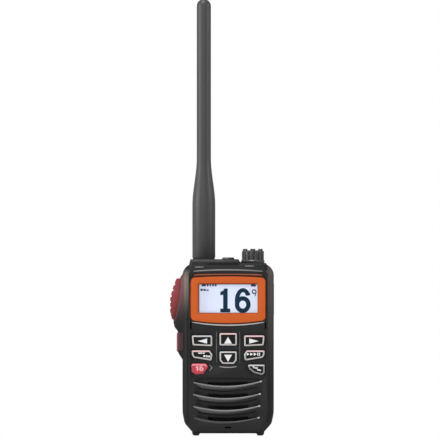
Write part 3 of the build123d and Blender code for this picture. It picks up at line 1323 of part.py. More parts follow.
# ----------------------------------------------------------------- belt clip
with BuildPart() as clip_bracket:
    with BuildSketch(at_depth(REAR_DEPTH + BRACKET_THICKNESS)):
        with Locations((0, (BRACKET_TOP + BRACKET_BOTTOM) / 2)):
            RectangleRounded(2 * BRACKET_HALF_WIDTH, BRACKET_TOP - BRACKET_BOTTOM, LUG_THICKNESS / 2)
    extrude(amount=BRACKET_THICKNESS)
    for x in (-BRACKET_HALF_WIDTH, BRACKET_HALF_WIDTH - LUG_THICKNESS):
        with BuildSketch(at_width(x)):
            with Locations((CLIP_PIVOT_Y, CLIP_PIVOT_Z)):
                Circle(CLIP_BARREL_RADIUS)
            add(
                box_between(
                    (REAR_DEPTH + BRACKET_THICKNESS / 2, CLIP_PIVOT_Z - CLIP_BARREL_RADIUS),
                    (CLIP_PIVOT_Y, CLIP_PIVOT_Z + CLIP_BARREL_RADIUS),
                )
            )
        extrude(amount=LUG_THICKNESS)
    with BuildSketch(at_width(-BRACKET_HALF_WIDTH)):
        with Locations((CLIP_PIVOT_Y, CLIP_PIVOT_Z)):
            Circle(CLIP_PIN_RADIUS)
    extrude(amount=2 * BRACKET_HALF_WIDTH, mode=Mode.SUBTRACT)
    with BuildSketch(at_depth(REAR_DEPTH + BRACKET_THICKNESS)):
        with Locations((-CLIP_SCREW_X, CLIP_SCREW_Z), (CLIP_SCREW_X, CLIP_SCREW_Z)):
            Circle(CLIP_SCREW_RADIUS + SHAFT_GAP)
    extrude(amount=BRACKET_THICKNESS, mode=Mode.SUBTRACT)
clip_bracket.part.label = "clip_bracket"
export_step(clip_bracket.part, "parts/clip_bracket.step")

with BuildPart() as belt_clip:
    with BuildSketch(at_width(-CLIP_HALF_WIDTH)):
        with BuildLine():
            FilletPolyline(
                (CLIP_INNER_Y, CLIP_TAB_TOP),
                (CLIP_INNER_Y, CLIP_BOTTOM + CLIP_LIP),
                (CLIP_LIP_Y, CLIP_BOTTOM + CLIP_LIP / 2),
                (CLIP_LIP_Y, CLIP_BOTTOM),
                (CLIP_OUTER_Y, CLIP_BOTTOM),
                (CLIP_OUTER_Y, CLIP_TAB_TOP),
                radius=[0, CLIP_THICKNESS / 2, 0.3, 0.3, CLIP_THICKNESS, 0.8],
                close=True,
            )
        make_face()
    extrude(amount=2 * CLIP_HALF_WIDTH)
    with BuildSketch(at_width(-BARREL_HALF_WIDTH)):
        with Locations((CLIP_PIVOT_Y, CLIP_PIVOT_Z)):
            Circle(CLIP_BARREL_RADIUS)
        add(
            box_between(
                (CLIP_PIVOT_Y, CLIP_PIVOT_Z - CLIP_BARREL_RADIUS),
                (CLIP_INNER_Y + CLIP_THICKNESS / 2, CLIP_PIVOT_Z + CLIP_BARREL_RADIUS),
            )
        )
    extrude(amount=2 * BARREL_HALF_WIDTH)
    with BuildSketch(at_width(-BARREL_HALF_WIDTH)):
        with Locations((CLIP_PIVOT_Y, CLIP_PIVOT_Z)):
            Circle(CLIP_PIN_RADIUS + SHAFT_GAP)
    extrude(amount=2 * BARREL_HALF_WIDTH, mode=Mode.SUBTRACT)
    with BuildSketch(at_width(-SPRING_HALF_WIDTH - SLIDE_GAP)):
        with Locations((CLIP_PIVOT_Y, CLIP_PIVOT_Z)):
            Circle(CLIP_BARREL_RADIUS + SLIDE_GAP)
    extrude(amount=2 * (SPRING_HALF_WIDTH + SLIDE_GAP), mode=Mode.SUBTRACT)
    with BuildSketch(at_depth(CLIP_OUTER_Y + 1)):
        with Locations((0, (CLIP_TAB_TOP + CLIP_BOTTOM) / 2)):
            RectangleRounded(2 * CLIP_HALF_WIDTH, CLIP_TAB_TOP - CLIP_BOTTOM, CLIP_CORNER)
    extrude(amount=CLIP_OUTER_Y + 1 - REAR_DEPTH, mode=Mode.INTERSECT)
belt_clip.part.label = "belt_clip"
export_step(belt_clip.part, "parts/belt_clip.step")

with BuildPart() as clip_pin:
    with BuildSketch(at_width(-BRACKET_HALF_WIDTH)):
        with Locations((CLIP_PIVOT_Y, CLIP_PIVOT_Z)):
            Circle(CLIP_PIN_RADIUS)
    extrude(amount=2 * BRACKET_HALF_WIDTH)
clip_pin.part.label = "clip_pin"
export_step(clip_pin.part, "parts/clip_pin.step")

with BuildPart() as clip_spring:
    with BuildSketch(at_width(-SPRING_HALF_WIDTH)):
        with Locations((CLIP_PIVOT_Y, CLIP_PIVOT_Z)):
            Circle(CLIP_PIN_RADIUS + SLIDE_GAP + SPRING_WIRE)
            Circle(CLIP_PIN_RADIUS + SHAFT_GAP, mode=Mode.SUBTRACT)
    extrude(amount=2 * SPRING_HALF_WIDTH)
clip_spring.part.label = "clip_spring"
export_step(clip_spring.part, "parts/clip_spring.step")

with BuildPart() as clip_screws:
    with BuildSketch(at_depth(REAR_DEPTH + BRACKET_THICKNESS)):
        with Locations((-CLIP_SCREW_X, CLIP_SCREW_Z), (CLIP_SCREW_X, CLIP_SCREW_Z)):
            Circle(CLIP_SCREW_RADIUS)
    extrude(amount=BRACKET_THICKNESS + WALL)
    with BuildSketch(at_depth(REAR_DEPTH + BRACKET_THICKNESS + CLIP_SCREW_HEAD)):
        with Locations((-CLIP_SCREW_X, CLIP_SCREW_Z), (CLIP_SCREW_X, CLIP_SCREW_Z)):
            Circle(2 * CLIP_SCREW_RADIUS)
    extrude(amount=CLIP_SCREW_HEAD)
clip_screws.part.label = "clip_screws"
export_step(clip_screws.part, "parts/clip_screws.step")

# ---------------------------------------------------------------- case screws
with BuildPart() as case_screws:
    head_top = CHASSIS_PLATE - SIDE_GAP
    with BuildSketch(at_depth(CHASSIS_PLATE / 2)):
        with Locations(*CASE_SCREWS):
            Circle(CASE_SCREW_RADIUS)
    extrude(amount=CHASSIS_PLATE / 2 + GASKET_THICKNESS + CASE_SCREW_LENGTH)
    with BuildSketch(at_depth(head_top)):
        with Locations(*CASE_SCREWS):
            Circle(CASE_SCREW_HEAD)
    extrude(amount=head_top - CHASSIS_PLATE / 2)
case_screws.part.label = "case_screws"
export_step(case_screws.part, "parts/case_screws.step")
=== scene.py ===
"""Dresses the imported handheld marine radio: finishes, display, keypad, grille, antenna and lighting.

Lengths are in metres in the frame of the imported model, and those that carry MM are written in millimetres.
Outlines and the places on face and panel are in millimetres until in_mm, on_face or on_panel turns them to metres.
"""

from __future__ import annotations

import logging
import math
from dataclasses import dataclass, field
from enum import Enum
from typing import Callable, Iterable, Sequence

import bpy
from mathutils import Matrix, Vector

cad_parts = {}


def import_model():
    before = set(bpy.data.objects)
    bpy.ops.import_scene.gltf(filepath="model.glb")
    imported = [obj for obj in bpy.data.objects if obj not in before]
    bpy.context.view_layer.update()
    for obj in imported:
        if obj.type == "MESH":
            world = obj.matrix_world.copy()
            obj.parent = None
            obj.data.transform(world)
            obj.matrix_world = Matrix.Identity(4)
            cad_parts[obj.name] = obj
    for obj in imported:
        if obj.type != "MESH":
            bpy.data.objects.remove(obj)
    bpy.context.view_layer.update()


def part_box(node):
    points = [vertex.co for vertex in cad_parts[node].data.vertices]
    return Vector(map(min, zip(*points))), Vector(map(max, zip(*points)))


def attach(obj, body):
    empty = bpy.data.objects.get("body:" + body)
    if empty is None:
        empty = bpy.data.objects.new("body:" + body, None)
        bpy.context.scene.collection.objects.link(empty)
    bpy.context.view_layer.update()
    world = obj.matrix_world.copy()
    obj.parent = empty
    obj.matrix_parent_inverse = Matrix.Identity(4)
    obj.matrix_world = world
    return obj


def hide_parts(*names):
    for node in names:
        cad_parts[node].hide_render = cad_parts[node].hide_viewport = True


LOG = logging.getLogger("marine_radio")
MM = 0.001
PANEL_SINK = 0.8 * MM
EDGE_REACH = 0.3 * MM
MERGE = 0.002 * MM
OUTLINE_MERGE = 0.001 * MM
OUTLINE_FLATTEN = 0.5
NO_RADIUS = 0.01 * MM
PRINT = 0.02 * MM
FULL_TURN = 360.0
Point = tuple[float, float]
Colour = tuple[float, float, float]
Box = tuple[float, float, float, float]
Shape = Sequence[Point]
Outlines = Iterable[Shape]
Piece = bpy.types.Object
Material = bpy.types.Material
Node = bpy.types.Node
Socket = bpy.types.NodeSocket


# ------------------------------------------------------------------ workshop
class Facing(Enum):
    """Which way a flat shape looks once it is put in its place."""

    FRONT = "front"
    TOP = "top"


def deselect() -> None:
    """Leaves nothing selected and no object in edit mode."""
    if bpy.context.object and bpy.context.object.mode != "OBJECT":
        bpy.ops.object.mode_set(mode="OBJECT")
    bpy.ops.object.select_all(action="DESELECT")


def take(piece: Piece) -> None:
    """Selects one piece alone and makes it active."""
    deselect()
    piece.select_set(True)
    bpy.context.view_layer.objects.active = piece


def edit_all(piece: Piece) -> None:
    """Opens a piece in edit mode with all of it selected."""
    take(piece)
    bpy.ops.object.mode_set(mode="EDIT")
    bpy.ops.mesh.select_all(action="SELECT")


def place(piece: Piece) -> None:
    """Puts a piece's place, turn and size into its mesh."""
    take(piece)
    bpy.ops.object.transform_apply(location=True, rotation=True, scale=True)


def apply_modifiers(piece: Piece) -> None:
    """Applies every modifier of a piece in order."""
    take(piece)
    for modifier in list(piece.modifiers):
        bpy.ops.object.modifier_apply(modifier=modifier.name)


def smooth(piece: Piece, angle: float = 32.0) -> None:
    """Shades a piece smooth except along edges sharper than an angle in degrees."""
    take(piece)
    bpy.ops.object.shade_smooth_by_angle(angle=math.radians(angle))


def bevel(piece: Piece, width: float, segments: int = 2, angle: float = 32.0) -> None:
    """Rounds the sharp edges of a piece.

    Args:
        piece: The piece to round.
        width: Width of the rounding in metres.
        segments: Number of faces across the rounding.
        angle: Only edges that turn by more than this, in degrees, are rounded.
    """
    rounding = piece.modifiers.new("rounding", "BEVEL")
    rounding.width = width
    rounding.segments = segments
    rounding.limit_method = "ANGLE"
    rounding.angle_limit = math.radians(angle)
    rounding.harden_normals = False
    apply_modifiers(piece)


def copy_node(node: str, name: str, flatten: float = 0.4) -> Piece:
    """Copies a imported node's mesh into a new piece that can be refined.

    Args:
        node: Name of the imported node.
        name: Name of the new piece.
        flatten: Faces that meet under this angle, in degrees, become one.

    Returns:
        The new piece, merged and with flat faces dissolved.
    """
    source = bpy.data.objects[node]
    piece = bpy.data.objects.new(name, source.data.copy())
    piece.data.name = name
    bpy.context.scene.collection.objects.link(piece)
    piece.data.materials.clear()
    edit_all(piece)
    bpy.ops.mesh.remove_doubles(threshold=MERGE)
    bpy.ops.mesh.dissolve_limited(angle_limit=math.radians(flatten))
    bpy.ops.object.mode_set(mode="OBJECT")
    if piece.data.has_custom_normals:
        bpy.ops.mesh.customdata_custom_splitnormals_clear()
    return piece


def join(pieces: Sequence[Piece], name: str) -> Piece:
    """Joins pieces into one object and names it."""
    take(pieces[0])
    for piece in pieces[1:]:
        piece.select_set(True)
    bpy.ops.object.join()
    result = bpy.context.object
    result.name = name
    result.data.name = name
    return result


def select_faces(piece: Piece, test: Callable[[bpy.types.MeshPolygon], bool]) -> None:
    """Selects the faces of a piece that pass a test, and nothing else.

    Args:
        piece: The piece, in object mode.
        test: Says whether a face is wanted.
    """
    mesh = piece.data
    mesh.vertices.foreach_set("select", [False] * len(mesh.vertices))
    mesh.edges.foreach_set("select", [False] * len(mesh.edges))
    mesh.polygons.foreach_set("select", [test(face) for face in mesh.polygons])
    take(piece)
    bpy.ops.object.mode_set(mode="EDIT")
    bpy.ops.mesh.select_mode(type="FACE")
    bpy.ops.object.mode_set(mode="OBJECT")


def in_mm(outline: Iterable[Point]) -> list[Point]:
    """Scales an outline from millimetres to metres."""
    return [(x * MM, y * MM) for x, y in outline]


def mirrored(outline: Iterable[Point]) -> list[Point]:
    """Mirrors an outline left to right."""
    return [(-x, y) for x, y in outline]


def moved(outline: Iterable[Point], across: float, up: float) -> list[Point]:
    """Moves an outline across and up."""
    return [(x + across, y + up) for x, y in outline]


def bar(left: float, bottom: float, right: float, top: float) -> list[Point]:
    """Outline of a plain rectangle."""
    return [(left, bottom), (right, bottom), (right, top), (left, top)]


def turn_steps(start: float, end: float, steps: int) -> list[float]:
    """Angles in radians between two angles in degrees."""
    return [math.radians(start + (end - start) * step / steps) for step in range(steps + 1)]


def oval(centre: Point, radii: Point, steps: int, start: float = 0.0, end: float = FULL_TURN) -> list[Point]:
    """Points round an oval between two angles in degrees, where a full turn leaves out its last point."""
    (x, y), (across, up) = centre, radii
    points = [(x + across * math.cos(a), y + up * math.sin(a)) for a in turn_steps(start, end, steps)]
    return points[:-1] if end - start == FULL_TURN else points


def set_up(piece: Piece, facing: Facing, depth: float, middle: float) -> None:
    """Turns a flat shape drawn in the XY plane to face a side of the body and moves it there.

    Args:
        piece: Shape drawn with x across and y up.
        facing: The side it looks to.
        depth: Place of its base along that side's axis.
        middle: Place of its x origin.
    """
    if facing is Facing.FRONT:
        piece.matrix_world = Matrix.Translation((middle, depth, 0)) @ Matrix.Rotation(math.pi / 2, 4, "X")
    else:
        piece.matrix_world = Matrix.Translation((middle, 0, depth))
    place(piece)


def as_mesh(name: str, curve: bpy.types.Curve, lift: float = 0.0) -> Piece:
    """Puts a curve into the scene, raised by a height, and turns it into a mesh."""
    piece = bpy.data.objects.new(name, curve)
    bpy.context.scene.collection.objects.link(piece)
    piece.location.z = lift
    take(piece)
    bpy.ops.object.convert(target="MESH")
    return bpy.context.object


def flat_shape(name: str, outlines: Outlines, thickness: float) -> Piece:
    """Plate cut to one or more closed outlines, where an outline inside another is a hole.

    Args:
        name: Name of the piece.
        outlines: Closed outlines in millimetres, x across and y up.
        thickness: Thickness of the plate, which rises from its base along its facing.

    Returns:
        The plate, as a mesh in the XY plane.
    """
    curve = bpy.data.curves.new(name, "CURVE")
    curve.dimensions = "2D"
    curve.fill_mode = "BOTH"
    curve.extrude = thickness / 2
    for outline in outlines:
        spline = curve.splines.new("POLY")
        spline.points.add(len(outline) - 1)
        for knot, (x, y) in zip(spline.points, in_mm(outline)):
            knot.co = (x, y, 0, 1)
        spline.use_cyclic_u = True
    piece = as_mesh(name, curve, thickness / 2)
    place(piece)
    edit_all(piece)
    bpy.ops.mesh.remove_doubles(threshold=OUTLINE_MERGE)
    bpy.ops.mesh.dissolve_limited(angle_limit=math.radians(OUTLINE_FLATTEN))
    bpy.ops.mesh.normals_make_consistent(inside=False)
    bpy.ops.object.mode_set(mode="OBJECT")
    smooth(piece)
    return piece


def rod_along(name: str, points: Sequence[Vector], radius: float, taper: float = 1.0) -> Piece:
    """Thin round bead that follows points through space.

    Args:
        name: Name of the bead.
        points: Places it runs through, in metres.
        radius: Radius at its middle.
        taper: Share of that radius left at its two ends.

    Returns:
        The bead, as a closed mesh in place.
    """
    curve = bpy.data.curves.new(name, "CURVE")
    curve.dimensions = "3D"
    curve.bevel_depth = radius
    curve.bevel_resolution = 3
    curve.use_fill_caps = True
    spline = curve.splines.new("POLY")
    last = len(points) - 1
    spline.points.add(last)
    for index, (knot, point) in enumerate(zip(spline.points, points)):
        knot.co = (*point, 1)
        knot.radius = taper + (1 - taper) * math.sin(math.pi * index / last) ** 0.5
    piece = as_mesh(name, curve)
    smooth(piece, angle=60)
    return piece


def turned(name: str, profile: Shape, centre: Point, steps: int = 96) -> Piece:
    """Shape turned about an upright axis.

    Args:
        name: Name of the piece.
        profile: Radius and height pairs in millimetres, from the axis at the bottom to the axis at the top.
        centre: Place of the axis in plan.
        steps: Number of faces round it.

    Returns:
        The closed, smooth shape in place.
    """
    deselect()
    (radius, height), *rest = in_mm(profile)
    before = max(radius, NO_RADIUS)
    bpy.ops.mesh.primitive_circle_add(vertices=steps, radius=before, location=(*centre, height))
    piece = bpy.context.object
    piece.name = name
    piece.data.name = name
    place(piece)
    edit_all(piece)
    bpy.ops.mesh.edge_face_add()
    bpy.ops.mesh.select_all(action="SELECT")
    for radius, new_height in rest:
        after = max(radius, NO_RADIUS)
        bpy.ops.mesh.extrude_region_move(TRANSFORM_OT_translate={"value": (0, 0, new_height - height)})
        share = after / before
        bpy.ops.transform.resize(value=(share, share, 1), center_override=(*centre, new_height))
        before, height = after, new_height
    bpy.ops.mesh.select_all(action="SELECT")
    bpy.ops.mesh.normals_make_consistent(inside=False)
    bpy.ops.object.mode_set(mode="OBJECT")
    smooth(piece)
    return piece


# ----------------------------------------------------------------- node groups
def new_group(
    name: str, inputs: dict[str, float], outputs: Sequence[str]
) -> tuple[bpy.types.ShaderNodeTree, bpy.types.NodeOutputs, bpy.types.NodeInputs]:
    """Makes a shader node group with named number sockets.

    Args:
        name: Name of the group.
        inputs: Input names to their default values.
        outputs: Output names.

    Returns:
        The group, the sockets that its inputs come from and the sockets that its outputs leave by.
    """
    group = bpy.data.node_groups.new(name, "ShaderNodeTree")
    for label, value in inputs.items():
        socket = group.interface.new_socket(name=label, in_out="INPUT", socket_type="NodeSocketFloat")
        socket.default_value = value
    for label in outputs:
        group.interface.new_socket(name=label, in_out="OUTPUT", socket_type="NodeSocketFloat")
    return group, group.nodes.new("NodeGroupInput").outputs, group.nodes.new("NodeGroupOutput").inputs


@dataclass
class Wiring:
    """Short way to add and link the nodes of a tree."""

    tree: bpy.types.NodeTree

    def add(self, kind: str, **settings: object) -> Node:
        """Adds a node and sets its properties by name."""
        node = self.tree.nodes.new(kind)
        for key, value in settings.items():
            setattr(node, key, value)
        return node

    def feed(self, entry: Socket, value: object) -> None:
        """Links a socket to an input, or gives the input a plain value."""
        if isinstance(value, Socket):
            self.tree.links.new(value, entry)
        else:
            entry.default_value = value

    def fill(self, node: Node, values: dict[str | int, object]) -> Node:
        """Feeds several inputs of a node by name or number and returns the node."""
        for key, value in values.items():
            self.feed(node.inputs[key], value)
        return node

    def maths(self, operation: str, *values: object) -> Socket:
        """Adds a Math node fed by sockets or numbers and returns its output."""
        return self.fill(self.add("ShaderNodeMath", operation=operation), dict(enumerate(values))).outputs[0]

    def noise(self, vector: Socket, scale: object, detail: float = 2.0) -> Socket:
        """Adds a noise texture and returns its factor."""
        values = {"Vector": vector, "Scale": scale, "Detail": detail}
        return self.fill(self.add("ShaderNodeTexNoise"), values).outputs["Fac"]

    def ramp(self, value: Socket, low: float, high: float) -> Socket:
        """Maps a value from between two limits to 0 to 1, smoothly."""
        node = self.add("ShaderNodeMapRange", interpolation_type="SMOOTHSTEP")
        return self.fill(node, {"Value": value, "From Min": low, "From Max": high}).outputs["Result"]

    def mix(self, first: object, second: object, share: Socket) -> Socket:
        """Adds a colour mix and returns its result."""
        node = self.add("ShaderNodeMix", data_type="RGBA")
        return self.fill(node, {"A": first, "B": second, "Factor": share}).outputs["Result"]

    def seen(self) -> Socket:
        """1 for rays that come from the camera, also through the window, else 0."""
        path = self.add("ShaderNodeLightPath").outputs
        return self.maths("MAXIMUM", path["Is Camera Ray"], path["Is Transmission Ray"])

    def surface(self, share: Socket, first: Node, second: Node) -> None:
        """Leads a mix of two shaders to the surface of the material."""
        blend = self.fill(self.add("ShaderNodeMixShader"), {0: share, 1: first.outputs[0], 2: second.outputs[0]})
        self.fill(self.add("ShaderNodeOutputMaterial"), {"Surface": blend.outputs[0]})


def start_material(name: str, bare: bool = False) -> tuple[Material, Wiring]:
    """Makes a material and the wiring of its tree, which holds no node if it is bare."""
    material = bpy.data.materials.new(name)
    material.use_nodes = True
    if bare:
        material.node_tree.nodes.clear()
    return material, Wiring(material.node_tree)


@dataclass(frozen=True)
class Moulding:
    """Fine eroded grain of a moulded surface, with its soft mottling and worn edges."""

    name: str = "moulded_surface"
    broad_scale: float = 34.0
    patch_scale: float = 420.0
    grain_share: float = 0.8
    mottle_share: float = 0.6
    sharp: tuple[float, float] = (0.004, 0.08)
    patchy: tuple[float, float] = (0.38, 0.62)
    least_wear: float = 0.4
    bevel_samples: int = 4

    def build(self) -> None:
        """Makes the group. It gives a bump height, a tone from 0 to 1, a roughness shift and an edge mask."""
        inputs = {"Grain Scale": 2600.0, "Mottle Scale": 160.0, "Wear": 0.5}
        group, entry, leave = new_group(self.name, inputs, ("Height", "Tone", "Rough", "Edge"))
        wire = Wiring(group)
        spot = wire.add("ShaderNodeTexCoord").outputs["Object"]
        grain = wire.noise(spot, entry["Grain Scale"], 3.0)
        mottle = wire.noise(spot, entry["Mottle Scale"], 4.0)
        broad = wire.noise(spot, self.broad_scale)
        height = wire.maths("MULTIPLY", mottle, 1 - self.grain_share)
        wire.feed(leave["Height"], wire.maths("MULTIPLY_ADD", grain, self.grain_share, height))
        soft = ((mottle, self.mottle_share), (broad, 1 - self.mottle_share))
        wire.feed(leave["Tone"], wire.maths("ADD", *(wire.maths("MULTIPLY", *pair) for pair in soft)))
        wire.feed(leave["Rough"], wire.maths("SUBTRACT", mottle, 0.5))
        rounded = wire.fill(wire.add("ShaderNodeBevel", samples=self.bevel_samples), {"Radius": EDGE_REACH})
        normals = {0: rounded.outputs["Normal"], 1: wire.add("ShaderNodeNewGeometry").outputs["Normal"]}
        turn = wire.fill(wire.add("ShaderNodeVectorMath", operation="DOT_PRODUCT"), normals).outputs["Value"]
        sharp = wire.ramp(wire.maths("SUBTRACT", 1.0, turn), *self.sharp)
        patchy = wire.ramp(wire.noise(spot, self.patch_scale, 4.0), *self.patchy)
        spread = wire.maths("MULTIPLY_ADD", patchy, 1 - self.least_wear, self.least_wear)
        worn = wire.maths("MULTIPLY", spread, entry["Wear"])
        wire.feed(leave["Edge"], wire.maths("MULTIPLY", sharp, worn))


MOULDING = Moulding()


@dataclass(frozen=True)
class Finish:
    """How one surface looks.

    The colour varies between two tones with the mottling, or, where a rise is given, with height over the four
    heights of its rise, which paints highlight and shade in bands by height; it is lifted to a third along worn
    edges, and the grain gives a fine relief.
    """

    name: str
    dark: Colour
    light: Colour
    worn: Colour
    roughness: float
    grain_scale: float = 2600.0
    relief: float = 0.00002
    mottle_scale: float = 160.0
    wear: float = 0.4
    metallic: float = 0.0
    coat: float = 0.0
    sheen: float = 0.0
    specular: float = 0.5
    rough_change: float = 0.25
    rise: tuple[float, float, float, float] | None = None
    slot: str = ""

    def material(self) -> Material:
        """Builds the material once and gives the same one after that."""
        title = f"{self.name}_finish"
        found = bpy.data.materials.get(title)
        if found:
            return found
        material, wire = start_material(title)
        material.diffuse_color = (*self.light, 1)
        moulding = wire.fill(
            wire.add("ShaderNodeGroup", node_tree=bpy.data.node_groups[MOULDING.name]),
            {"Grain Scale": self.grain_scale, "Mottle Scale": self.mottle_scale, "Wear": self.wear},
        ).outputs
        shift = moulding["Tone"]
        # A rise paints highlight by height: the tone turns light between its first two heights and dark again
        # between the last two.
        if self.rise:
            spot = wire.add("ShaderNodeTexCoord").outputs["Object"]
            height = wire.fill(wire.add("ShaderNodeSeparateXYZ"), {0: spot}).outputs["Z"]
            shift = wire.maths("SUBTRACT", *(wire.ramp(height, *pair) for pair in (self.rise[:2], self.rise[2:])))
        tone = wire.mix((*self.dark, 1), (*self.light, 1), shift)
        relief = wire.fill(
            wire.add("ShaderNodeBump"), {"Strength": 1.0, "Distance": self.relief, "Height": moulding["Height"]}
        )
        shader = {
            "Base Color": wire.mix(tone, (*self.worn, 1), moulding["Edge"]),
            "Roughness": wire.maths("MULTIPLY_ADD", moulding["Rough"], self.rough_change, self.roughness),
            "Normal": relief.outputs["Normal"],
            "Metallic": self.metallic,
            "Coat Weight": self.coat,
            "Sheen Weight": self.sheen,
            "Specular IOR Level": self.specular,
        }
        wire.fill(material.node_tree.nodes["Principled BSDF"], shader)
        return material


def grey(value: float) -> Colour:
    """Colour without a tint."""
    return (value, value, value)


def case_tone(name: str, dark: Colour, light: Colour, worn: Colour, **more: object) -> Finish:
    """Finish of a painted part of the case, which keeps the slot of the case."""
    return Finish(name, dark, light, worn, 0.46, slot="case_plastic", **more)


def ink(name: str, dark: Colour, light: Colour, worn: Colour, slot: str = "key_black", **more: object) -> Finish:
    """Finish of print, which has little relief and the slot of what it lies on."""
    return Finish(name, dark, light, worn, slot=slot, **{"roughness": 0.4, "relief": 0.000006, **more})


BLACK = (0.011, 0.0112, 0.012)
BLACK_LIGHT = (0.018, 0.0184, 0.0196)
BLACK_WORN = (0.07, 0.07, 0.072)
NEVER = (1.0, 2.0)


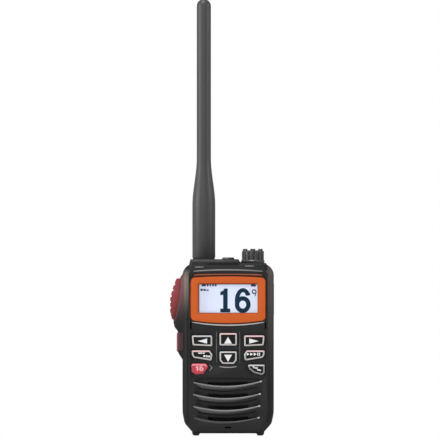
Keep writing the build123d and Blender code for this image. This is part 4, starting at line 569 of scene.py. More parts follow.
class Palette(Enum):
    """Every finish of the radio by its use."""

    CASE = Finish("case_plastic", BLACK, BLACK_LIGHT, BLACK_WORN, 0.46, wear=0.5, specular=0.22)
    CHASSIS = Finish("chassis_plastic", BLACK, BLACK_LIGHT, BLACK_WORN, 0.5, specular=0.22)
    BATTERY = Finish(
        "battery_plastic", (0.012, 0.0122, 0.013), (0.019, 0.0194, 0.0206), BLACK_WORN, 0.5, specular=0.22
    )
    INNER = Finish("inner_plastic", (0.02, 0.02, 0.021), (0.03, 0.03, 0.032), grey(0.06), 0.6)
    CLIP = Finish("clip_plastic", (0.017, 0.0175, 0.019), (0.027, 0.0275, 0.03), (0.1, 0.1, 0.104), 0.42, wear=0.7)
    LATCH = Finish("latch_plastic", (0.035, 0.035, 0.038), (0.05, 0.05, 0.055), (0.14, 0.14, 0.145), 0.4)
    # The knob's full edge wear in a pale tone is partly real rubbing and partly a painted highlight along the
    # ridges of its flutes.
    KNOB = Finish("knob_plastic", (0.032, 0.032, 0.034), (0.06, 0.06, 0.063), (0.26, 0.26, 0.265), 0.34, wear=1.0)
    BEZEL = Finish(
        "bezel_orange", (0.53, 0.083, 0.005), (0.62, 0.108, 0.008), (0.84, 0.24, 0.05), 0.46,
        grain_scale=1500.0, relief=0.000012, mottle_scale=900.0, wear=0.35, specular=0.3, rough_change=0.15,
    )
    # Darker orange for the bezel's edges that turn away from the front: painted shade on the same orange.
    BEZEL_EDGE = Finish(
        "bezel_edge", (0.34, 0.05, 0.006), (0.44, 0.07, 0.009), (0.6, 0.15, 0.03), 0.5,
        specular=0.25, slot="bezel_orange",
    )
    # Dark red-brown of the bezel's sloped rim in shadow: painted shade.
    RIM = Finish("rim_painted_shade", (0.34, 0.08, 0.026), (0.44, 0.11, 0.038), (0.4, 0.13, 0.06), 0.5, slot="bezel_orange")
    LIGHT_GUIDE = Finish("light_guide", (0.8, 0.85, 0.93), (0.88, 0.92, 1.0), (0.9, 0.94, 1.0), 0.4)
    LENS = Finish("lens_black", (0.012, 0.012, 0.014), (0.022, 0.022, 0.026), grey(0.08), 0.16, relief=0.000002)
    KEY = Finish(
        "key_black", (0.006, 0.006, 0.0064), (0.011, 0.011, 0.0115), grey(0.04), 0.5, wear=0.2, specular=0.15
    )
    KEY_RED = Finish("key_red", (0.6, 0.032, 0.055), (0.72, 0.05, 0.08), (0.7, 0.2, 0.22), 0.4, wear=0.3)
    RING = ink("ring_ink", (0.46, 0.44, 0.42), (0.6, 0.57, 0.55), (0.8, 0.78, 0.78))
    # Dimmer ring tone; on the scan key it paints shade on the ring's bottom band.
    RING_DIM = ink("ring_dim", (0.22, 0.2, 0.2), (0.32, 0.3, 0.29), (0.5, 0.48, 0.48))
    # Pinker, brighter ring tone for the ring's top band: a painted highlight.
    RING_TOP = ink("ring_top_highlight", (0.66, 0.42, 0.42), (0.8, 0.54, 0.54), (0.9, 0.75, 0.75))
    # Pinker, brighter red for the top band of the red key's ring: a painted highlight.
    RED_TOP = Finish("red_top_highlight", (0.72, 0.2, 0.23), (0.85, 0.29, 0.32), (0.9, 0.5, 0.5), 0.4, slot="key_red")
    RED_DIM = Finish("red_dim", (0.36, 0.04, 0.055), (0.45, 0.055, 0.07), (0.6, 0.2, 0.2), 0.4, slot="key_red")
    SIGN_RED = Finish("sign_pink", (0.75, 0.42, 0.44), (0.85, 0.52, 0.54), (0.9, 0.7, 0.7), 0.45, slot="key_red")
    SIGN = ink("sign_white", grey(0.78), grey(0.88), grey(0.9), roughness=0.45, relief=0.000004)
    SIGN_GREY = ink(
        "sign_grey", (0.34, 0.31, 0.31), (0.46, 0.42, 0.42), (0.6, 0.58, 0.58), roughness=0.45, relief=0.000004
    )
    INK = ink(
        "display_ink", (0.006, 0.028, 0.062), (0.008, 0.038, 0.082), (0.01, 0.03, 0.07),
        "lcd_glass", roughness=0.6, relief=0.0, specular=0.1,
    )
    INK_SOFT = ink(
        "display_ink_soft", (0.05, 0.075, 0.14), (0.07, 0.1, 0.18), (0.1, 0.13, 0.2),
        "lcd_glass", roughness=0.6, relief=0.0, specular=0.1,
    )
    # Grey-blue printed frame round the display window: painted shadow of the bezel's inner edge.
    SHADE = ink(
        "window_shade", (0.1, 0.1, 0.12), (0.15, 0.15, 0.18), grey(0.2), "lcd_glass", roughness=0.6, relief=0.0
    )
    # The talk key's rubber turns lighter between 60 and 74 mm up: a painted highlight on its upper part.
    TALK = Finish(
        "talk_rubber", (0.2, 0.02, 0.022), (0.28, 0.035, 0.045), (0.45, 0.1, 0.12), 0.55,
        grain_scale=1900.0, wear=0.5, sheen=0.06, specular=0.4, rise=(0.06, 0.074, *NEVER),
    )
    SIDE = Finish("side_rubber", (0.28, 0.06, 0.08), (0.38, 0.09, 0.115), (0.42, 0.12, 0.15), 0.55, sheen=0.1)
    # Darker copy of the side key's rubber for the part that wraps round the bulge: painted shade.
    WRAP = Finish(
        "key_wrap", (0.055, 0.02, 0.023), (0.075, 0.028, 0.032), (0.12, 0.05, 0.055), 0.5,
        specular=0.22, slot="side_rubber",
    )
    COVER = Finish("cover_rubber", (0.022, 0.022, 0.024), (0.033, 0.033, 0.036), grey(0.08), 0.62, sheen=0.1)
    SEAL = Finish("seal_rubber", grey(0.012), grey(0.02), grey(0.05), 0.7)
    ANTENNA = Finish(
        "antenna_rubber", (0.028, 0.0282, 0.028), (0.045, 0.0452, 0.045), grey(0.09), 0.52,
        grain_scale=1400.0, relief=0.00003, mottle_scale=90.0, sheen=0.12,
    )
    BOARD = Finish("circuit_board", (0.01, 0.11, 0.045), (0.02, 0.17, 0.07), (0.3, 0.4, 0.2), 0.4)
    TIN = Finish("tin_plate", (0.5, 0.5, 0.48), (0.64, 0.64, 0.62), grey(0.8), 0.34, metallic=1.0)
    MAGNET = Finish("magnet_coat", (0.1, 0.1, 0.11), (0.17, 0.17, 0.18), grey(0.4), 0.4, metallic=0.6)
    CLOTH = Finish("speaker_cloth", grey(0.008), grey(0.02), grey(0.03), 0.85, relief=0.00005)
    GOLD = Finish("gold_plate", (0.68, 0.46, 0.14), (0.85, 0.62, 0.25), (1.0, 0.85, 0.5), 0.24, metallic=1.0)
    NICKEL = Finish("nickel_plate", (0.5, 0.5, 0.49), (0.66, 0.66, 0.64), grey(0.85), 0.25, metallic=1.0)
    SPRING = Finish("spring_steel", grey(0.42), grey(0.6), grey(0.8), 0.3, metallic=1.0)
    CELL = Finish("cell_wrap", (0.12, 0.2, 0.34), (0.16, 0.27, 0.44), (0.4, 0.5, 0.6), 0.4)
    # Near black for plates and beads of painted shade in grooves, slots and recesses.
    GROOVE = Finish(
        "groove_shade", (0.0015, 0.0015, 0.0016), (0.003, 0.003, 0.0032), grey(0.01), 0.9,
        relief=0.0, wear=0.0, specular=0.05, slot="case_plastic",
    )
    # Dim and bright tones of painted sheen, laid as beads and bands of painted highlight along edges that catch the
    # light.
    LIP_DIM = Finish("lip_dim_painted_sheen", (0.035, 0.035, 0.036), (0.055, 0.055, 0.057), grey(0.12), 0.4, slot="case_plastic")
    LIP = Finish(
        "lip_painted_sheen", (0.15, 0.15, 0.153), (0.21, 0.21, 0.215), (0.3, 0.3, 0.31), 0.35, wear=0.9, slot="case_plastic"
    )
    # Painted highlights of the case sides, lighter with height or in a band: the right and left flanks, and the
    # bulge's rounded edge and front with a reddish painted reflection.
    FLANK = case_tone(
        "flank_painted_sheen", (0.008, 0.0081, 0.0086), (0.08, 0.068, 0.066), grey(0.12),
        specular=0.2, rise=(0.02, 0.09, *NEVER),
    )
    FLANK_LEFT = case_tone(
        "flank_left_painted_sheen", (0.007, 0.0071, 0.0076), (0.17, 0.135, 0.115), grey(0.2),
        specular=0.2, rise=(0.059, 0.079, 0.0795, 0.086),
    )
    BULGE_EDGE = case_tone(
        "bulge_edge_highlight", (0.007, 0.007, 0.0075), (0.13, 0.03, 0.033), (0.15, 0.08, 0.08),
        specular=0.2, rise=(0.05, 0.079, 0.081, 0.086),
    )
    BULGE_FACE = case_tone(
        "bulge_face_highlight", BLACK, (0.21, 0.105, 0.11), (0.12, 0.1, 0.1), specular=0.22, rise=(0.0545, 0.082, *NEVER)
    )


NODE_FINISH: dict[Palette, tuple[str, ...]] = {
    Palette.CASE: ("front_case",),
    Palette.CHASSIS: ("rear_chassis",),
    Palette.BATTERY: ("battery_case",),
    Palette.INNER: ("lcd_frame", "side_switches", "accessory_jacks", "battery_cover"),
    Palette.CLIP: ("clip_bracket", "belt_clip"),
    Palette.LATCH: ("battery_latch",),
    Palette.KNOB: ("volume_knob",),
    Palette.BEZEL: ("display_bezel",),
    Palette.LIGHT_GUIDE: ("backlight_plate",),
    Palette.LENS: ("status_lens",),
    Palette.KEY: ("key_left", "key_up", "key_right", "key_hold", "key_down", "key_scan", "key_clear"),
    Palette.KEY_RED: ("key_16",),
    Palette.TALK: ("ptt_button",),
    Palette.SIDE: ("side_key",),
    Palette.COVER: ("jack_cover",),
    Palette.SEAL: ("case_gasket", "keypad_mat", "microphone_boot", "antenna_seal"),
    Palette.ANTENNA: ("antenna_sheath",),
    Palette.BOARD: ("main_board",),
    Palette.TIN: ("shield_can", "speaker_basket", "volume_control"),
    Palette.MAGNET: ("speaker_magnet",),
    Palette.CLOTH: ("speaker_membrane", "speaker_cone", "microphone"),
    Palette.GOLD: ("antenna_connector", "antenna_socket", "battery_contacts", "charge_contacts", "supply_springs"),
    Palette.NICKEL: (
        "antenna_socket_nut", "volume_control_nut", "knob_shaft", "clip_pin", "clip_screws", "case_screws"
    ),
    Palette.SPRING: ("key_domes", "antenna_element", "latch_leaf", "clip_spring"),
    Palette.CELL: ("battery_cells",),
}


# ------------------------------------------------------------- frame and dressing
@dataclass(frozen=True)
class Datum:
    """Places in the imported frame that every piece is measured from."""

    middle: float
    face: float
    panel: float
    screen: float
    caps: float

    @classmethod
    def read(cls) -> Datum:
        """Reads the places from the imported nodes."""
        low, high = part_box("display_bezel")
        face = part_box("front_case")[0].y
        return cls(
            middle=(low.x + high.x) / 2,
            face=face,
            panel=face + PANEL_SINK,
            screen=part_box("lcd_panel")[0].y,
            caps=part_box("key_up")[0].y,
        )

    def on_face(self, x: float, z: float, proud: float = 0.0) -> Vector:
        """Point on the front face from millimetres across and up."""
        return Vector((self.middle + x * MM, self.face - proud * MM, z * MM))

    def on_panel(self, x: float, z: float, proud: float = 0.0) -> Vector:
        """Point on the keypad panel from millimetres across and up."""
        return Vector((self.middle + x * MM, self.panel - proud * MM, z * MM))

    def plate(self, name: str, outlines: Outlines, thickness: float, depth: float) -> Piece:
        """Makes a plate that faces the front, with its back at a depth."""
        piece = flat_shape(name, outlines, thickness)
        set_up(piece, Facing.FRONT, depth, self.middle)
        return piece


def dress(piece: Piece, finish: Palette, body: str = "root", *nodes: str) -> Piece:
    """Gives a piece its finish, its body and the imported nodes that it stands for.

    Args:
        piece: Finished piece in place. Material slots it already has are kept.
        finish: Finish of a piece that has no material yet, and the source of its slot.
        body: Body that carries it.
        nodes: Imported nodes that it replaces.

    Returns:
        The piece.
    """
    if not piece.data.materials:
        paint(piece, finish)
    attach(piece, body)
    if nodes:
        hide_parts(*nodes)
    return piece


def paint(piece: Piece, *finishes: Palette) -> Piece:
    """Gives a piece one material slot for each finish."""
    for finish in finishes:
        piece.data.materials.append(finish.value.material())
    return piece


@dataclass
class Housing:
    """Front case, chassis, battery, clip and covers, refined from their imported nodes."""

    datum: Datum
    edge: float = 0.3 * MM
    fine_edge: float = 0.18 * MM
    # The flank and bulge limits choose the faces of the front case that get painted highlights.
    flank: float = 19.4 * MM
    flank_turn: float = 0.12
    seal_outer: Shape = ((15.5, 0.8), (21.5, 7.0), (21.5, 71.2))
    seal_inner: Shape = ((14.5, 2.0), (20.2, 8.0), (20.2, 70.0))
    seal_thickness: float = 0.11 * MM
    seal_gap: float = 0.02 * MM
    bulge: float = 22.65 * MM
    bulge_front: float = 0.9
    bulge_turn: float = 0.3
    wrap_bottom: float = 43.4
    wrap_height: float = 8.9
    wrap_edge: float = 0.2
    wrap_corner: tuple[float, float, float] = (-24.1, 16.35, 1.42)
    wrap_end: float = -22.72
    wrap_back: float = 14.6

    def build(self) -> None:
        """Builds every refined shell."""
        for node, finish, body, width in (
            ("front_case", Palette.CASE, "root", self.fine_edge),
            ("rear_chassis", Palette.CHASSIS, "root", self.fine_edge),
            ("battery_case", Palette.BATTERY, "battery", self.fine_edge),
            ("battery_latch", Palette.LATCH, "latch", self.edge),
            ("clip_bracket", Palette.CLIP, "root", self.fine_edge),
            ("belt_clip", Palette.CLIP, "clip", self.edge),
            ("jack_cover", Palette.COVER, "jack_flap", self.edge),
            ("status_lens", Palette.LENS, "root", self.fine_edge),
            ("ptt_button", Palette.TALK, "talk_key", self.edge),
            ("side_key", Palette.SIDE, "lower_key", self.edge),
        ):
            piece = copy_node(node, f"{node}_shell")
            bevel(piece, width)
            smooth(piece)
            if finish is Palette.CASE:
                self.flanks(piece)
            dress(piece, finish, body, node)
        self.joint_seal()
        self.key_wrap()

    def flanks(self, piece: Piece) -> None:
        """Paints highlights on the sides of the front case and on its bulge, brighter by height."""
        paint(piece, Palette.CASE, Palette.FLANK, Palette.FLANK_LEFT, Palette.BULGE_EDGE, Palette.BULGE_FACE)
        # Slots: the plain case, the painted highlights of the right and left flanks, and those of the bulge's
        # rounded edge and front.
        plain, right, left, bulge_edge_highlight, bulge_face_highlight = range(5)
        for face in piece.data.polygons:
            across, ahead = face.center.x - self.datum.middle, -face.normal.y
            if abs(across) > self.flank and face.normal.x * across > 0 and abs(face.normal.x) > self.flank_turn:
                face.material_index = right if across > 0 else left
            if across < -self.bulge:
                side = bulge_edge_highlight if ahead > self.bulge_turn else plain
                face.material_index = bulge_face_highlight if ahead > self.bulge_front else side

    def joint_seal(self) -> None:
        """Lays a thin foam ring round the joint between the chassis and the battery."""
        outlines = [mirrored(half)[::-1] + list(half) for half in (self.seal_outer, self.seal_inner)]
        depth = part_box("battery_case")[0].y - self.seal_gap
        dress(self.datum.plate("joint_seal", outlines, self.seal_thickness, depth), Palette.SEAL)

    def key_wrap(self) -> None:
        """Wraps the lower side key's rubber round the front edge of the bulge, in a darker copy of its colour that
        is painted shade.
        """
        x, depth, radius = self.wrap_corner
        inner, outer = (
            [
                (x - reach, -self.wrap_back),
                *oval((x, -depth), (reach, reach), steps=8, start=180, end=270),
                (self.wrap_end, -depth - reach),
            ]
            for reach in (radius, radius + self.wrap_edge)
        )
        wrap = flat_shape("key_wrap", [inner + outer[::-1]], self.wrap_height * MM)
        set_up(wrap, Facing.TOP, self.wrap_bottom * MM, self.datum.middle)
        dress(wrap, Palette.WRAP)


@dataclass
class Display:
    """Bezel, window, lit panel and the signs on it."""

    datum: Datum
    bezel_edge: float = 0.3 * MM
    bezel_front: float = 0.93
    ink: float = 0.04 * MM
    layer: float = 0.012 * MM
    opening: Box = (-16.0, 61.2, 16.0, 78.1)
    window: Box = (-14.6, 62.45, 14.9, 76.75)
    one: Shape = (
        (-4.0, 62.6), (1.05, 62.6), (1.05, 64.5), (-0.25, 64.5), (-0.25, 74.7), (-1.9, 74.7),
        (-2.5, 73.7), (-4.0, 72.9), (-4.0, 71.2), (-2.55, 71.6), (-2.55, 64.5), (-4.0, 64.5),
    )
    bowl: Point = (7.4, 66.55)
    bowl_radii: tuple[Point, Point] = ((4.0, 4.25), (1.75, 2.05))
    hook: Point = (7.55, 68.6)
    hook_radii: tuple[Point, Point] = ((4.15, 6.3), (1.95, 4.25))
    nine: Point = (13.2, 73.1)
    nine_radii: tuple[float, float] = (1.25, 0.65)
    nine_tail: Shape = ((0.8, 0.0), (1.2, 0.0), (0.7, -2.3), (0.2, -2.3))
    small: Sequence[Box] = (
        (-13.5, 75.8, -11.3, 77.0), (-10.9, 75.8, -9.9, 77.0), (-9.4, 75.8, -8.6, 77.0), (-8.1, 75.8, -7.2, 77.0),
        (-6.8, 75.8, -5.9, 76.8), (-14.1, 73.5, -12.9, 74.6), (-12.6, 73.5, -11.4, 74.5), (-11.1, 73.5, -9.9, 74.2),
        (11.5, 75.7, 14.0, 77.0), (14.08, 76.1, 14.35, 76.6),
    )

    def build(self) -> None:
        """Builds the framed display."""
        bezel = copy_node("display_bezel", "bezel_frame")
        bevel(bezel, self.bezel_edge, segments=3)
        smooth(bezel)
        paint(bezel, Palette.BEZEL, Palette.BEZEL_EDGE)
        # Faces that turn away from the front get the darker orange of painted shade.
        for face in bezel.data.polygons:
            face.material_index = int(face.normal.y > -self.bezel_front)
        dress(bezel, Palette.BEZEL, "root", "display_bezel")
        self.signs()
        # The frame round the window is painted shadow of the bezel's inner edge.
        dress(self.printed("window_shade", [bar(*self.opening), bar(*self.window)]), Palette.SHADE)

    def printed(self, name: str, outlines: Outlines, extra: float = 0.0) -> Piece:
        """Prints shapes on the panel, with an extra thickness."""
        return self.datum.plate(name, outlines, self.ink + extra, self.datum.screen)

    def signs(self) -> None:
        """Sets the number and the small signs on the lit panel."""
        bowl = [oval(self.bowl, radii, steps=40) for radii in self.bowl_radii]
        outer, inner = self.hook_radii
        hook = oval(self.hook, outer, steps=30, start=26, end=205)
        hook += oval(self.hook, inner, steps=26, start=190, end=34)
        for index, outlines in enumerate(([self.one], bowl, [hook])):
            dress(self.printed(f"number_{index}", outlines, index * self.layer), Palette.INK)
        nine_bowl = [oval(self.nine, (radius, radius), steps=24) for radius in self.nine_radii]
        parts = ([bar(*spot) for spot in self.small], nine_bowl, [moved(self.nine_tail, *self.nine)])
        marks = [self.printed(f"marks_{index}", outlines) for index, outlines in enumerate(parts)]
        dress(join(marks, "display_marks"), Palette.INK_SOFT)


@dataclass
class Keypad:
    """Keys with their light rings and signs."""

    datum: Datum
    names: tuple[str, ...] = ("left", "up", "right", "hold", "down", "scan", "16", "clear")
    ring: float = 0.75 * MM
    ring_end: float = 0.6 * MM
    sink: float = 0.12 * MM
    edge: float = 0.05 * MM
    front_band: float = 0.05 * MM
    front_turn: float = 0.95
    lift: float = 0.05 * MM
    marks_up: float = 0.4
    arrow_side: Shape = ((-15.4, 48.05), (-10.7, 46.75), (-10.7, 49.35))
    arrow_up: Shape = ((-2.0, 46.75), (1.9, 46.75), (-0.05, 50.2))
    arrow_down: Shape = ((-2.05, 41.1), (-0.05, 37.6), (1.95, 41.1))
    hold: Sequence[Box] = (
        (-15.2, 41.2, -13.2, 41.9), (-12.9, 41.2, -11.9, 41.9),
        (-12.6, 39.6, -11.6, 40.5), (-11.3, 39.5, -10.4, 40.4), (-10.1, 39.4, -9.2, 40.3),
    )
    scan_arrow: Shape = ((0.0, 40.2), (1.5, 41.0), (0.0, 41.8))
    scan_arrows: Sequence[float] = (9.4, 11.2, 13.0)
    scan_bars: Sequence[Box] = ((14.8, 40.2, 15.3, 41.8), (15.7, 40.2, 16.2, 41.8))
    clear: Sequence[Shape] = (
        ((12.3, 34.8), (13.0, 35.2), (13.6, 34.2), (12.9, 33.8)),
        ((13.5, 34.3), (15.0, 34.3), (15.0, 33.6), (13.9, 33.6)),
        ((14.6, 33.4), (16.6, 33.2), (16.6, 32.5), (14.9, 32.7)),
    )
    small_one: Box = (-15.9, 32.6, -15.2, 34.9)
    small_one_flag: Shape = ((-15.95, 34.4), (-15.95, 34.9), (-16.5, 34.5), (-16.5, 34.0))
    small_bowl: Point = (-13.6, 33.45)
    small_bowl_radii: tuple[Point, Point] = ((1.1, 0.95), (0.45, 0.35))
    small_hook: Shape = ((-14.7, 33.9), (-14.2, 34.45), (-13.0, 34.9), (-13.2, 35.4), (-14.4, 34.95))
    # Tones of cap, ring sides, ring top and ring bottom; a lighter ring top is a painted highlight and a darker
    # ring bottom a painted shade.
    plain: Sequence[Palette] = (Palette.KEY, Palette.RING, Palette.RING_TOP, Palette.RING)
    even: Sequence[Palette] = (Palette.KEY, Palette.RING, Palette.RING, Palette.RING)
    tones: dict[str, Sequence[Palette]] = field(
        default_factory=lambda: {
            "16": (Palette.KEY_RED, Palette.RED_DIM, Palette.RED_TOP, Palette.RED_DIM),
            "left": Keypad.even,
            "down": Keypad.even,
            "scan": (Palette.KEY, Palette.RING, Palette.RING_TOP, Palette.RING_DIM),
            "clear": (Palette.KEY, Palette.RING_DIM, Palette.RING, Palette.RING_DIM),
        }
    )

    def build(self) -> None:
        """Builds every key, the arrows and the plain marks on the small keys and the number on the red one."""
        for name in self.names:
            self.key(name)
        arrows = (self.arrow_side, mirrored(self.arrow_side), self.arrow_up, self.arrow_down)
        for name, arrow in zip(("left", "right", "up", "down"), arrows):
            self.sign(f"sign_{name}", [arrow], name)
        scan = [moved(self.scan_arrow, x, 0.0) for x in self.scan_arrows] + [bar(*spot) for spot in self.scan_bars]
        bowl = [oval(self.small_bowl, radii, steps=20) for radii in self.small_bowl_radii]
        sixteen = [bar(*self.small_one), self.small_one_flag, *bowl, self.small_hook]
        for name, outlines, key, finish in (
            ("marks_hold", [bar(*spot) for spot in self.hold], "hold", Palette.SIGN),
            ("marks_scan", scan, "scan", Palette.SIGN),
            ("marks_clear", self.clear, "clear", Palette.SIGN),
            ("number_16", sixteen, "16", Palette.SIGN_RED),
        ):
            self.sign(name, [moved(outline, 0.0, self.marks_up) for outline in outlines], key, finish)

    def key(self, name: str) -> None:
        """Copies a key, sets a light ring round its face and rounds it."""
        node = f"key_{name}"
        tones = self.tones.get(name, self.plain)
        cap, ring, ring_top_highlight, ring_bottom = range(4)
        piece = paint(copy_node(node, f"{node}_shell"), *tones)
        front = self.datum.caps + self.front_band
        select_faces(piece, lambda face: face.normal.y < -self.front_turn and face.center.y < front)
        bpy.ops.object.mode_set(mode="EDIT")
        piece.active_material_index = ring
        bpy.ops.object.material_slot_assign()
        bpy.ops.mesh.inset(thickness=self.ring, use_even_offset=True)
        piece.active_material_index = cap
        bpy.ops.object.material_slot_assign()
        bpy.ops.mesh.extrude_region_move(TRANSFORM_OT_translate={"value": (0, self.sink, 0)})
        bpy.ops.object.mode_set(mode="OBJECT")
        rim = [face for face in piece.data.polygons if face.material_index == ring]
        top, bottom = max(face.center.z for face in rim), min(face.center.z for face in rim)
        # The ring's top and bottom bands get their own tones, which paint a highlight on top and, on the scan key,
        # shade below.
        for face in rim:
            if face.center.z > top - self.ring_end:
                face.material_index = ring_top_highlight
            elif face.center.z < bottom + self.ring_end:
                face.material_index = ring_bottom
        bevel(piece, self.edge, angle=60)
        smooth(piece)
        dress(piece, tones[0], f"{node}_cap", node)

    def sign(self, name: str, outlines: Outlines, key: str, finish: Palette = Palette.SIGN) -> None:
        """Sets a printed sign on a key."""
        piece = self.datum.plate(name, outlines, self.lift, self.datum.caps + self.sink)
        dress(piece, finish, f"key_{key}_cap")


@dataclass
class Antenna:
    """Rubber antenna turned as one shape over its element, in millimetres."""

    base_radius: float = 5.85
    base_top: float = 117.0
    base_round: Shape = ((0.35, 0.0), (0.1, 0.1), (0.0, 0.35))
    flare_top: float = 141.0
    flare_steps: int = 24
    tip: float = 3.625
    tip_steps: int = 10

    def build(self) -> None:
        """Turns the sheath."""
        low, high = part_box("antenna_sheath")
        bottom, top = low.z / MM, high.z / MM
        profile = [(0.0, bottom), *((self.base_radius - cut, bottom + up) for cut, up in self.base_round)]
        for step in range(self.flare_steps + 1):
            share = step / self.flare_steps
            ease = share * share * (3 - 2 * share)
            z = self.base_top + (self.flare_top - self.base_top) * share
            profile.append((self.base_radius + (self.tip - self.base_radius) * ease, z))
        profile += oval((0.0, top - self.tip), (self.tip, self.tip), self.tip_steps, start=0, end=90)
        piece = turned("antenna_rubber_shape", profile, ((low.x + high.x) / 2, (low.y + high.y) / 2))
        dress(piece, Palette.ANTENNA, "antenna", "antenna_sheath")


def spread(start: float, end: float, count: int = 28) -> list[float]:
    """Evenly spaced numbers between two limits."""
    return [start + (end - start) * step / count for step in range(count + 1)]


def bow(half: float, middle: float, end: float, count: int = 24) -> list[Point]:
    """Places along a shallow bow across the body, in millimetres.

    Args:
        half: Half of its width.
        middle: Height at its middle.
        end: Height at its ends.
        count: Number of parts.

    Returns:
        Places across and up.
    """
    return [(half * share, middle + (end - middle) * share**2) for share in spread(-1.0, 1.0, count)]


@dataclass(frozen=True)
class Bead:
    """Thin line on the keypad panel or the front face, in millimetres."""

    name: str
    places: Shape
    radius: float
    taper: float
    finish: Palette
    proud: float = 0.0
    on_face: bool = False

    def lay(self, datum: Datum) -> None:
        """Makes the line."""
        spot = datum.on_face if self.on_face else datum.on_panel
        points = [spot(x, z, self.proud) for x, z in self.places]
        dress(rod_along(self.name, points, self.radius * MM, self.taper), self.finish)


@dataclass
class Trim:
    """Thin lines of painted highlight and painted shade on the case, in millimetres: brow, chin, keypad lines and
    louvre lips.
    """

    datum: Datum
    slots: tuple[tuple[float, float, float], ...] = (
        (6.75, -17.3, 15.9), (12.6, -17.5, 16.2), (18.65, -17.7, 16.5), (24.85, -17.5, 17.0),
    )
    sides: tuple[tuple[str, int], ...] = (("left", -1), ("right", 1))
    lip_arc: float = 60.0
    lip_middle: float = -1.3
    lip_radius: float = 0.5
    lip_taper: float = 0.6
    lip_sink: float = 0.05
    end_reach: tuple[float, float] = (-1.0, 0.1)
    end_radius: float = 0.46
    end_taper: float = 0.8
    end_proud: float = 0.02
    shade: float = 1.35
    shade_reach: float = 10.2
    line_inset: float = 2.0
    line_drop: float = 2.1
    line_width: float = 0.3
    line_top: Box = (-15.5, 28.7, 14.5, 28.92)
    slope_inset: float = 0.6
    slope_drop: float = 0.2
    slope_least: float = 0.1
    slope_width: float = 1.6
    slope_low: float = 0.5
    slope_start: float = 9.0
    slope_fade: float = 0.8
    column: float = 5.9
    column_top: float = 53.0
    column_step: float = 2.0
    column_steps: int = 9
    notch: float = 19.1
    notch_half: float = 0.5
    notch_heights: tuple[float, float] = (54.2, 57.6)
    notch_depth: float = 0.05 * MM
    groove: float = 19.1 * 1.018
    groove_heights: Sequence[float] = (59.5, 69.0, 78.5)
    bezel_side: Shape = ((-19.2, 60.5), (-19.2, 69.0), (-19.2, 77.5))
    bracket: Shape = ((-9.6, 36.0), (-8.2, 34.6), (-9.3, 33.0))
    deck_groove: Box = (-10.6, 86.95, 5.0, 87.4)
    deck_sink: float = 0.3 * MM
    glints: tuple[tuple[str, float, float, float], ...] = (("left", -17.0, -12.4, 85.6), ("right", 8.4, 13.3, 86.1))

    def build(self) -> None:
        """Builds every trim piece."""
        self.louvres()
        self.lines()
        self.bezel_sides()
        self.deck()

    def louvres(self) -> None:
        """Lays a bead of painted highlight and a soft band of painted sheen along each louvre's lower lip, and dark
        plates of painted shade round the louvres.
        """
        beads, shades = [], []
        for index, (height, left, right) in enumerate(self.slots):
            tone = Palette.LIP if index else Palette.LIP_DIM
            width = self.slope_width if index else self.slope_low
            start, end = (right + reach for reach in self.end_reach)
            # Each lip is a bead of painted highlight, with a grey dot of painted highlight at its right end.
            beads += [
                self.lip(f"lip_{index}", self.arc(height, left, right), self.lip_radius, self.lip_taper, tone),
                self.lip(f"lip_end_{index}", self.arc(height, start, end, self.end_proud), self.end_radius,
                         self.end_taper, Palette.SIGN_GREY),
                self.slope(height, left + self.slope_inset, right - self.slope_inset, width),
            ]
            # A dark crescent of painted shade over each slot and, from the second lip on, a dark line of painted
            # shade below the lip.
            base = self.lip_radius - self.lip_sink
            over = [(x, self.rise(height, x) + base + self.shade * (1 - (x / self.shade_reach) ** 4))
                    for x in spread(-self.shade_reach, self.shade_reach)]
            under = self.along(height, self.shade_reach, -self.shade_reach, base)
            shades.append(self.printed(f"shade_{index}", over + under[1:-1]))
            if index:
                left, right = left + self.line_inset, right - self.line_inset
                over = self.along(height, left, right, -self.line_drop)
                under = self.along(height, right, left, -(self.line_drop + self.line_width))
                shades.append(self.printed(f"line_{index}", over + under))
        # A dark bar of painted shade above the grille.
        shades.append(self.printed("line_top", bar(*self.line_top)))
        dress(join(beads, "louvre_lips"), Palette.LIP)
        dress(join(shades, "louvre_shades"), Palette.GROOVE)

    def lip(self, name: str, points: Sequence[Vector], radius: float, taper: float, finish: Palette) -> Piece:
        """Makes one painted bead of a lip."""
        return paint(rod_along(name, points, radius * MM, taper), finish)

    def slope(self, height: float, left: float, right: float, most: float) -> Piece:
        """Soft band of painted sheen just under a louvre lip, widest near its left end."""
        low = []
        for x in spread(right, left):
            share = (x - left) / (right - left)
            width = most * min(1.0, share * self.slope_start) * (1 - share) ** self.slope_fade
            low.append((x, self.rise(height, x) - self.slope_drop - self.slope_least - width))
        band = self.printed("lip_slope", self.along(height, left, right, -self.slope_drop) + low)
        return paint(band, Palette.LIP_DIM)

    def printed(self, name: str, outline: Shape, behind: float = 0.0) -> Piece:
        """Prints a shape on the front face, or some way behind it."""
        return self.datum.plate(name, [outline], PRINT, self.datum.face + behind)

    def rise(self, height: float, x: float) -> float:
        """Height of a louvre lip at a place across."""
        return height + (x - self.lip_middle) ** 2 / (2 * self.lip_arc)

    def along(self, height: float, left: float, right: float, up: float) -> list[Point]:
        """Places along a louvre lip, moved up."""
        return [(x, self.rise(height, x) + up) for x in spread(left, right)]

    def arc(self, height: float, left: float, right: float, proud: float = 0.0) -> list[Vector]:
        """Points along a louvre lip on the front face, in metres."""
        return [self.datum.on_face(x, z, proud) for x, z in self.along(height, left, right, 0.0)]

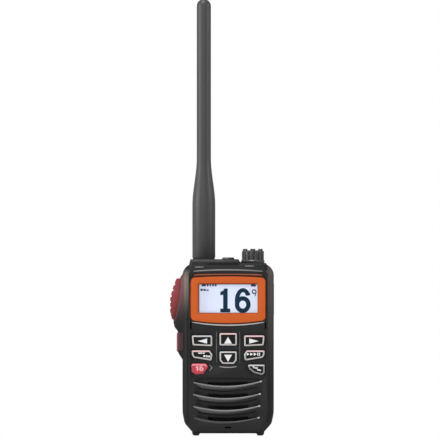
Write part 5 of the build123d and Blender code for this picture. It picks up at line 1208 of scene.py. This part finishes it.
    def lines(self) -> None:
        """Lays the brow above the display and the chin below it as beads of painted highlight, the rim over the
        bezel as a bead of painted shade, and the keypad's lines, whose column lines are painted highlight.
        """
        drop = [self.column_top - self.column_step * step for step in range(self.column_steps)]
        for bead in (
            Bead("brow_line", bow(17.6, 84.15, 83.45), 0.42, 0.4, Palette.LIP, proud=-0.05, on_face=True),
            Bead("rim_line", bow(17.4, 82.15, 81.6), 0.6, 0.5, Palette.RIM),
            Bead("chin_line", bow(18.2, 56.1, 57.6), 0.36, 0.5, Palette.RING, proud=0.02),
            *(Bead(f"column_line_{name}", [(side * self.column, z) for z in drop], 0.12, 0.3, Palette.LIP)
              for name, side in self.sides),
            Bead("down_key_arc", bow(4.4, 34.7, 35.1), 0.28, 0.4, Palette.SIGN_GREY, proud=0.02),
            Bead("red_key_bracket", self.bracket, 0.2, 0.5, Palette.SIGN_GREY, proud=0.02),
        ):
            bead.lay(self.datum)

    def bezel_sides(self) -> None:
        """Lays a dark notch plate and a dark groove bead of painted shade at each side of the bezel, and a bead in
        the bezel's painted-shade orange along its left edge.
        """
        low, high = self.notch_heights
        for name, side in self.sides:
            x = side * self.notch
            outline = bar(x - self.notch_half, low, x + self.notch_half, high)
            dress(self.datum.plate(f"notch_{name}", [outline], self.notch_depth, self.datum.panel), Palette.GROOVE)
            places = [(side * self.groove, z) for z in self.groove_heights]
            Bead(f"bezel_groove_{name}", places, 0.22, 0.6, Palette.GROOVE).lay(self.datum)
        Bead("bezel_left_edge", self.bezel_side, 0.25, 0.6, Palette.BEZEL_EDGE, proud=0.3).lay(self.datum)

    def deck(self) -> None:
        """Lays a dark plate of painted shade along the deck's groove, and two glints as beads of painted highlight.
        """
        dress(self.printed("deck_groove", bar(*self.deck_groove), self.deck_sink), Palette.GROOVE)
        for name, left, right, z in self.glints:
            places = [(x, z) for x in (left, (left + right) / 2, right)]
            Bead(f"deck_glint_{name}", places, 0.3, 0.5, Palette.LIP, proud=-0.35, on_face=True).lay(self.datum)


@dataclass
class Knob:
    """Fluted volume knob over its collar, with a pointer, and the felt ring under it, in millimetres."""

    lobes: int = 15
    lobe_steps: int = 12
    radius: float = 5.65
    depth: float = 0.75
    dip_power: float = 2.5
    grip_edge: float = 0.45 * MM
    skirt: float = 6.0
    skirt_height: float = 1.2
    skirt_low: Point = (0.15, 0.2)
    skirt_high: Point = (0.25, 0.3)
    crown: float = 4.2
    crown_height: float = 1.0
    crown_edge: float = 0.2
    lugs: int = 6
    lug_height: float = 1.1
    lug_sink: float = 0.3
    lug_edge: float = 0.3 * MM
    lug_radii: tuple[float, float] = (5.35, 3.7)
    lug_turns: tuple[int, ...] = (-15, -7, 0, 7, 15)
    cap_rise: float = 0.35
    pointer: Box = (-0.3, -4.0, 0.3, -1.2)
    pointer_height: float = 0.05 * MM
    felt: float = 5.8
    felt_heights: tuple[float, float] = (-0.25, -0.05)

    def build(self) -> None:
        """Builds the knob."""
        low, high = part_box("volume_knob")
        centre = ((low.x + high.x) / 2, (low.y + high.y) / 2)
        bottom, top = low.z / MM, high.z / MM
        shoulder = top - self.lug_height
        ledge, cap = bottom + self.skirt_height, shoulder + self.cap_rise
        (low_in, low_up), (high_in, high_down) = self.skirt_low, self.skirt_high
        skirt = [
            (0, bottom), (self.skirt - low_in, bottom), (self.skirt, bottom + low_up),
            (self.skirt, ledge - high_down), (self.skirt - high_in, ledge), (0, ledge),
        ]
        collar = turned("knob_collar", skirt, centre)
        grip = flat_shape("knob_grip", [self.flutes()], (shoulder - ledge) * MM)
        bevel(grip, self.grip_edge, segments=3, angle=60)
        self.sit(grip, centre, ledge)
        smooth(grip, angle=40)
        foot, rim = cap - self.crown_height, cap - self.crown_edge
        dome = [(0, foot), (self.crown, foot), (self.crown, rim), (self.crown - self.crown_edge, cap), (0, cap)]
        crown = turned("knob_crown", dome, centre)
        lugs = [self.lug(index, centre, shoulder - self.lug_sink) for index in range(self.lugs)]
        dress(join([grip, collar, crown, *lugs], "knob_shape"), Palette.KNOB, "knob", "volume_knob")
        pointer = flat_shape("knob_pointer", [bar(*self.pointer)], self.pointer_height)
        self.sit(pointer, centre, cap)
        dress(pointer, Palette.SIGN, "knob")
        under, over = (bottom + height for height in self.felt_heights)
        ring = [(0, under), (self.felt, under), (self.felt, over), (0, over)]
        dress(turned("knob_felt", ring, centre), Palette.SEAL)

    def flutes(self) -> list[Point]:
        """Outline of the grip, round with a dip between lobes."""
        count = self.lobes * self.lobe_steps
        outline = []
        for step in range(count):
            a = 2 * math.pi * step / count
            reach = self.radius - self.depth * (0.5 - 0.5 * math.cos(self.lobes * a)) ** self.dip_power
            outline.append((reach * math.cos(a), reach * math.sin(a)))
        return outline

    def lug(self, index: int, centre: Point, base: float) -> Piece:
        """Makes one raised sector of the knob's rim."""
        turn = [math.radians(360 * index / self.lugs + 90 + step) for step in self.lug_turns]
        outer, inner = self.lug_radii
        arcs = ((outer, turn), (inner, turn[::-1]))
        sector = [(reach * math.cos(a), reach * math.sin(a)) for reach, arc in arcs for a in arc]
        piece = flat_shape(f"knob_lug_{index}", [sector], (self.lug_height + self.lug_sink) * MM)
        bevel(piece, self.lug_edge, angle=50)
        self.sit(piece, centre, base)
        smooth(piece, angle=40)
        return piece

    def sit(self, piece: Piece, centre: Point, height: float) -> None:
        """Moves a piece drawn round the origin to the knob's axis and a height."""
        piece.location = (*centre, height * MM)
        place(piece)


@dataclass
class Setting:
    """Floor, sky, lights and camera."""

    datum: Datum
    aim: tuple[float, float] = (-4.14, 109.5)
    distance: float = 4.0
    sensor: float = 36.0
    frame_width: float = 224.4
    view_end: float = 100.0
    floor_size: float = 40.0
    paper: Colour = (0.8, 0.8, 0.8)
    sky_light: float = 0.18
    lamps: tuple[tuple[str, float, float, Colour, Colour], ...] = (
        ("top_lamp", 0.25, 3.6, (-0.1, -0.16, 0.8), (0, 0, 0.05)),
        ("left_lamp", 0.3, 4.6, (-0.8, -0.3, 0.3), (0, 0, 0.1)),
        ("right_lamp", 0.3, 3.0, (0.85, -0.3, 0.35), (0, 0, 0.08)),
        ("front_lamp", 0.4, 3.6, (-0.15, -1.4, 0.5), (0, 0, 0.1)),
    )

    def build(self) -> None:
        """Builds the setting."""
        self.world()
        self.floor()
        self.lights()
        self.camera()

    def world(self) -> None:
        """Sets an even pale sky, full white to the eye and dimmer as a light."""
        world = bpy.data.worlds.new("sky")
        bpy.context.scene.world = world
        world.use_nodes = True
        wire = Wiring(world.node_tree)
        strength = wire.maths("MULTIPLY_ADD", wire.seen(), 1 - self.sky_light, self.sky_light)
        wire.fill(world.node_tree.nodes["Background"], {"Color": (1, 1, 1, 1), "Strength": strength})

    def floor(self) -> None:
        """Lays a wide floor that is plain white to the eye and an ordinary pale surface to other light."""
        deselect()
        bpy.ops.mesh.primitive_plane_add(size=self.floor_size)
        piece = bpy.context.object
        piece.name = "floor"
        material, wire = start_material("floor_paper", bare=True)
        surface = wire.fill(wire.add("ShaderNodeBsdfDiffuse"), {"Color": (*self.paper, 1)})
        glow = wire.fill(wire.add("ShaderNodeEmission"), {"Strength": 1.0})
        wire.surface(wire.seen(), surface, glow)
        piece.data.materials.append(material)

    def lights(self) -> None:
        """Hangs the soft lamps."""
        for name, size, power, spot, aim in self.lamps:
            lamp = bpy.data.lights.new(name, "AREA")
            lamp.shape = "SQUARE"
            lamp.size = size
            lamp.energy = power
            piece = bpy.data.objects.new(name, lamp)
            piece.location = spot
            piece.rotation_euler = (Vector(aim) - Vector(spot)).to_track_quat("-Z", "Y").to_euler()
            bpy.context.scene.collection.objects.link(piece)

    def camera(self) -> None:
        """Stands a long lens straight in front of the display."""
        lens = bpy.data.cameras.new("camera")
        lens.sensor_width = self.sensor
        lens.lens = self.sensor * self.distance / (self.frame_width * MM)
        lens.clip_end = self.view_end
        eye = bpy.data.objects.new("camera", lens)
        eye.location = (self.datum.middle + self.aim[0] * MM, -self.distance, self.aim[1] * MM)
        eye.rotation_euler = (math.pi / 2, 0, 0)
        bpy.context.scene.collection.objects.link(eye)
        bpy.context.scene.camera = eye


def lit_panel() -> Material:
    """Pale blue display glass, lit from behind."""
    material, wire = start_material("lit_display")
    wire.fill(
        material.node_tree.nodes["Principled BSDF"],
        {
            "Base Color": (0.5, 0.57, 0.76, 1),
            "Roughness": 0.5,
            "Emission Color": (0.72, 0.745, 0.83, 1),
            "Emission Strength": 0.43,
        },
    )
    return material


def clear_window() -> Material:
    """Clear pane that only adds its reflection."""
    material, wire = start_material("clear_pane", bare=True)
    mirror = wire.fill(wire.add("ShaderNodeBsdfGlossy"), {"Roughness": 0.05})
    fresnel = wire.fill(wire.add("ShaderNodeFresnel"), {"IOR": 1.3}).outputs[0]
    front = wire.maths("SUBTRACT", 1.0, wire.add("ShaderNodeNewGeometry").outputs["Backfacing"])
    wire.surface(wire.maths("MULTIPLY", fresnel, front), wire.add("ShaderNodeBsdfTransparent"), mirror)
    return material


def finish_nodes() -> None:
    """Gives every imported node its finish."""
    looks = {name: finish.value.material() for finish, names in NODE_FINISH.items() for name in names}
    looks.update(lcd_panel=lit_panel(), display_window=clear_window())
    for name, material in looks.items():
        node = bpy.data.objects[name]
        node.data.materials.clear()
        node.data.materials.append(material)


def main() -> None:
    """Builds the dressed radio and its setting."""
    logging.basicConfig(level=logging.INFO)
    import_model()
    bpy.context.scene.view_settings.view_transform = "Standard"
    MOULDING.build()
    finish_nodes()
    datum = Datum.read()
    for part in (Housing(datum), Display(datum), Keypad(datum), Antenna(), Trim(datum), Knob(), Setting(datum)):
        LOG.info("building %s", type(part).__name__)
        part.build()


if __name__ == "__main__":
    main()
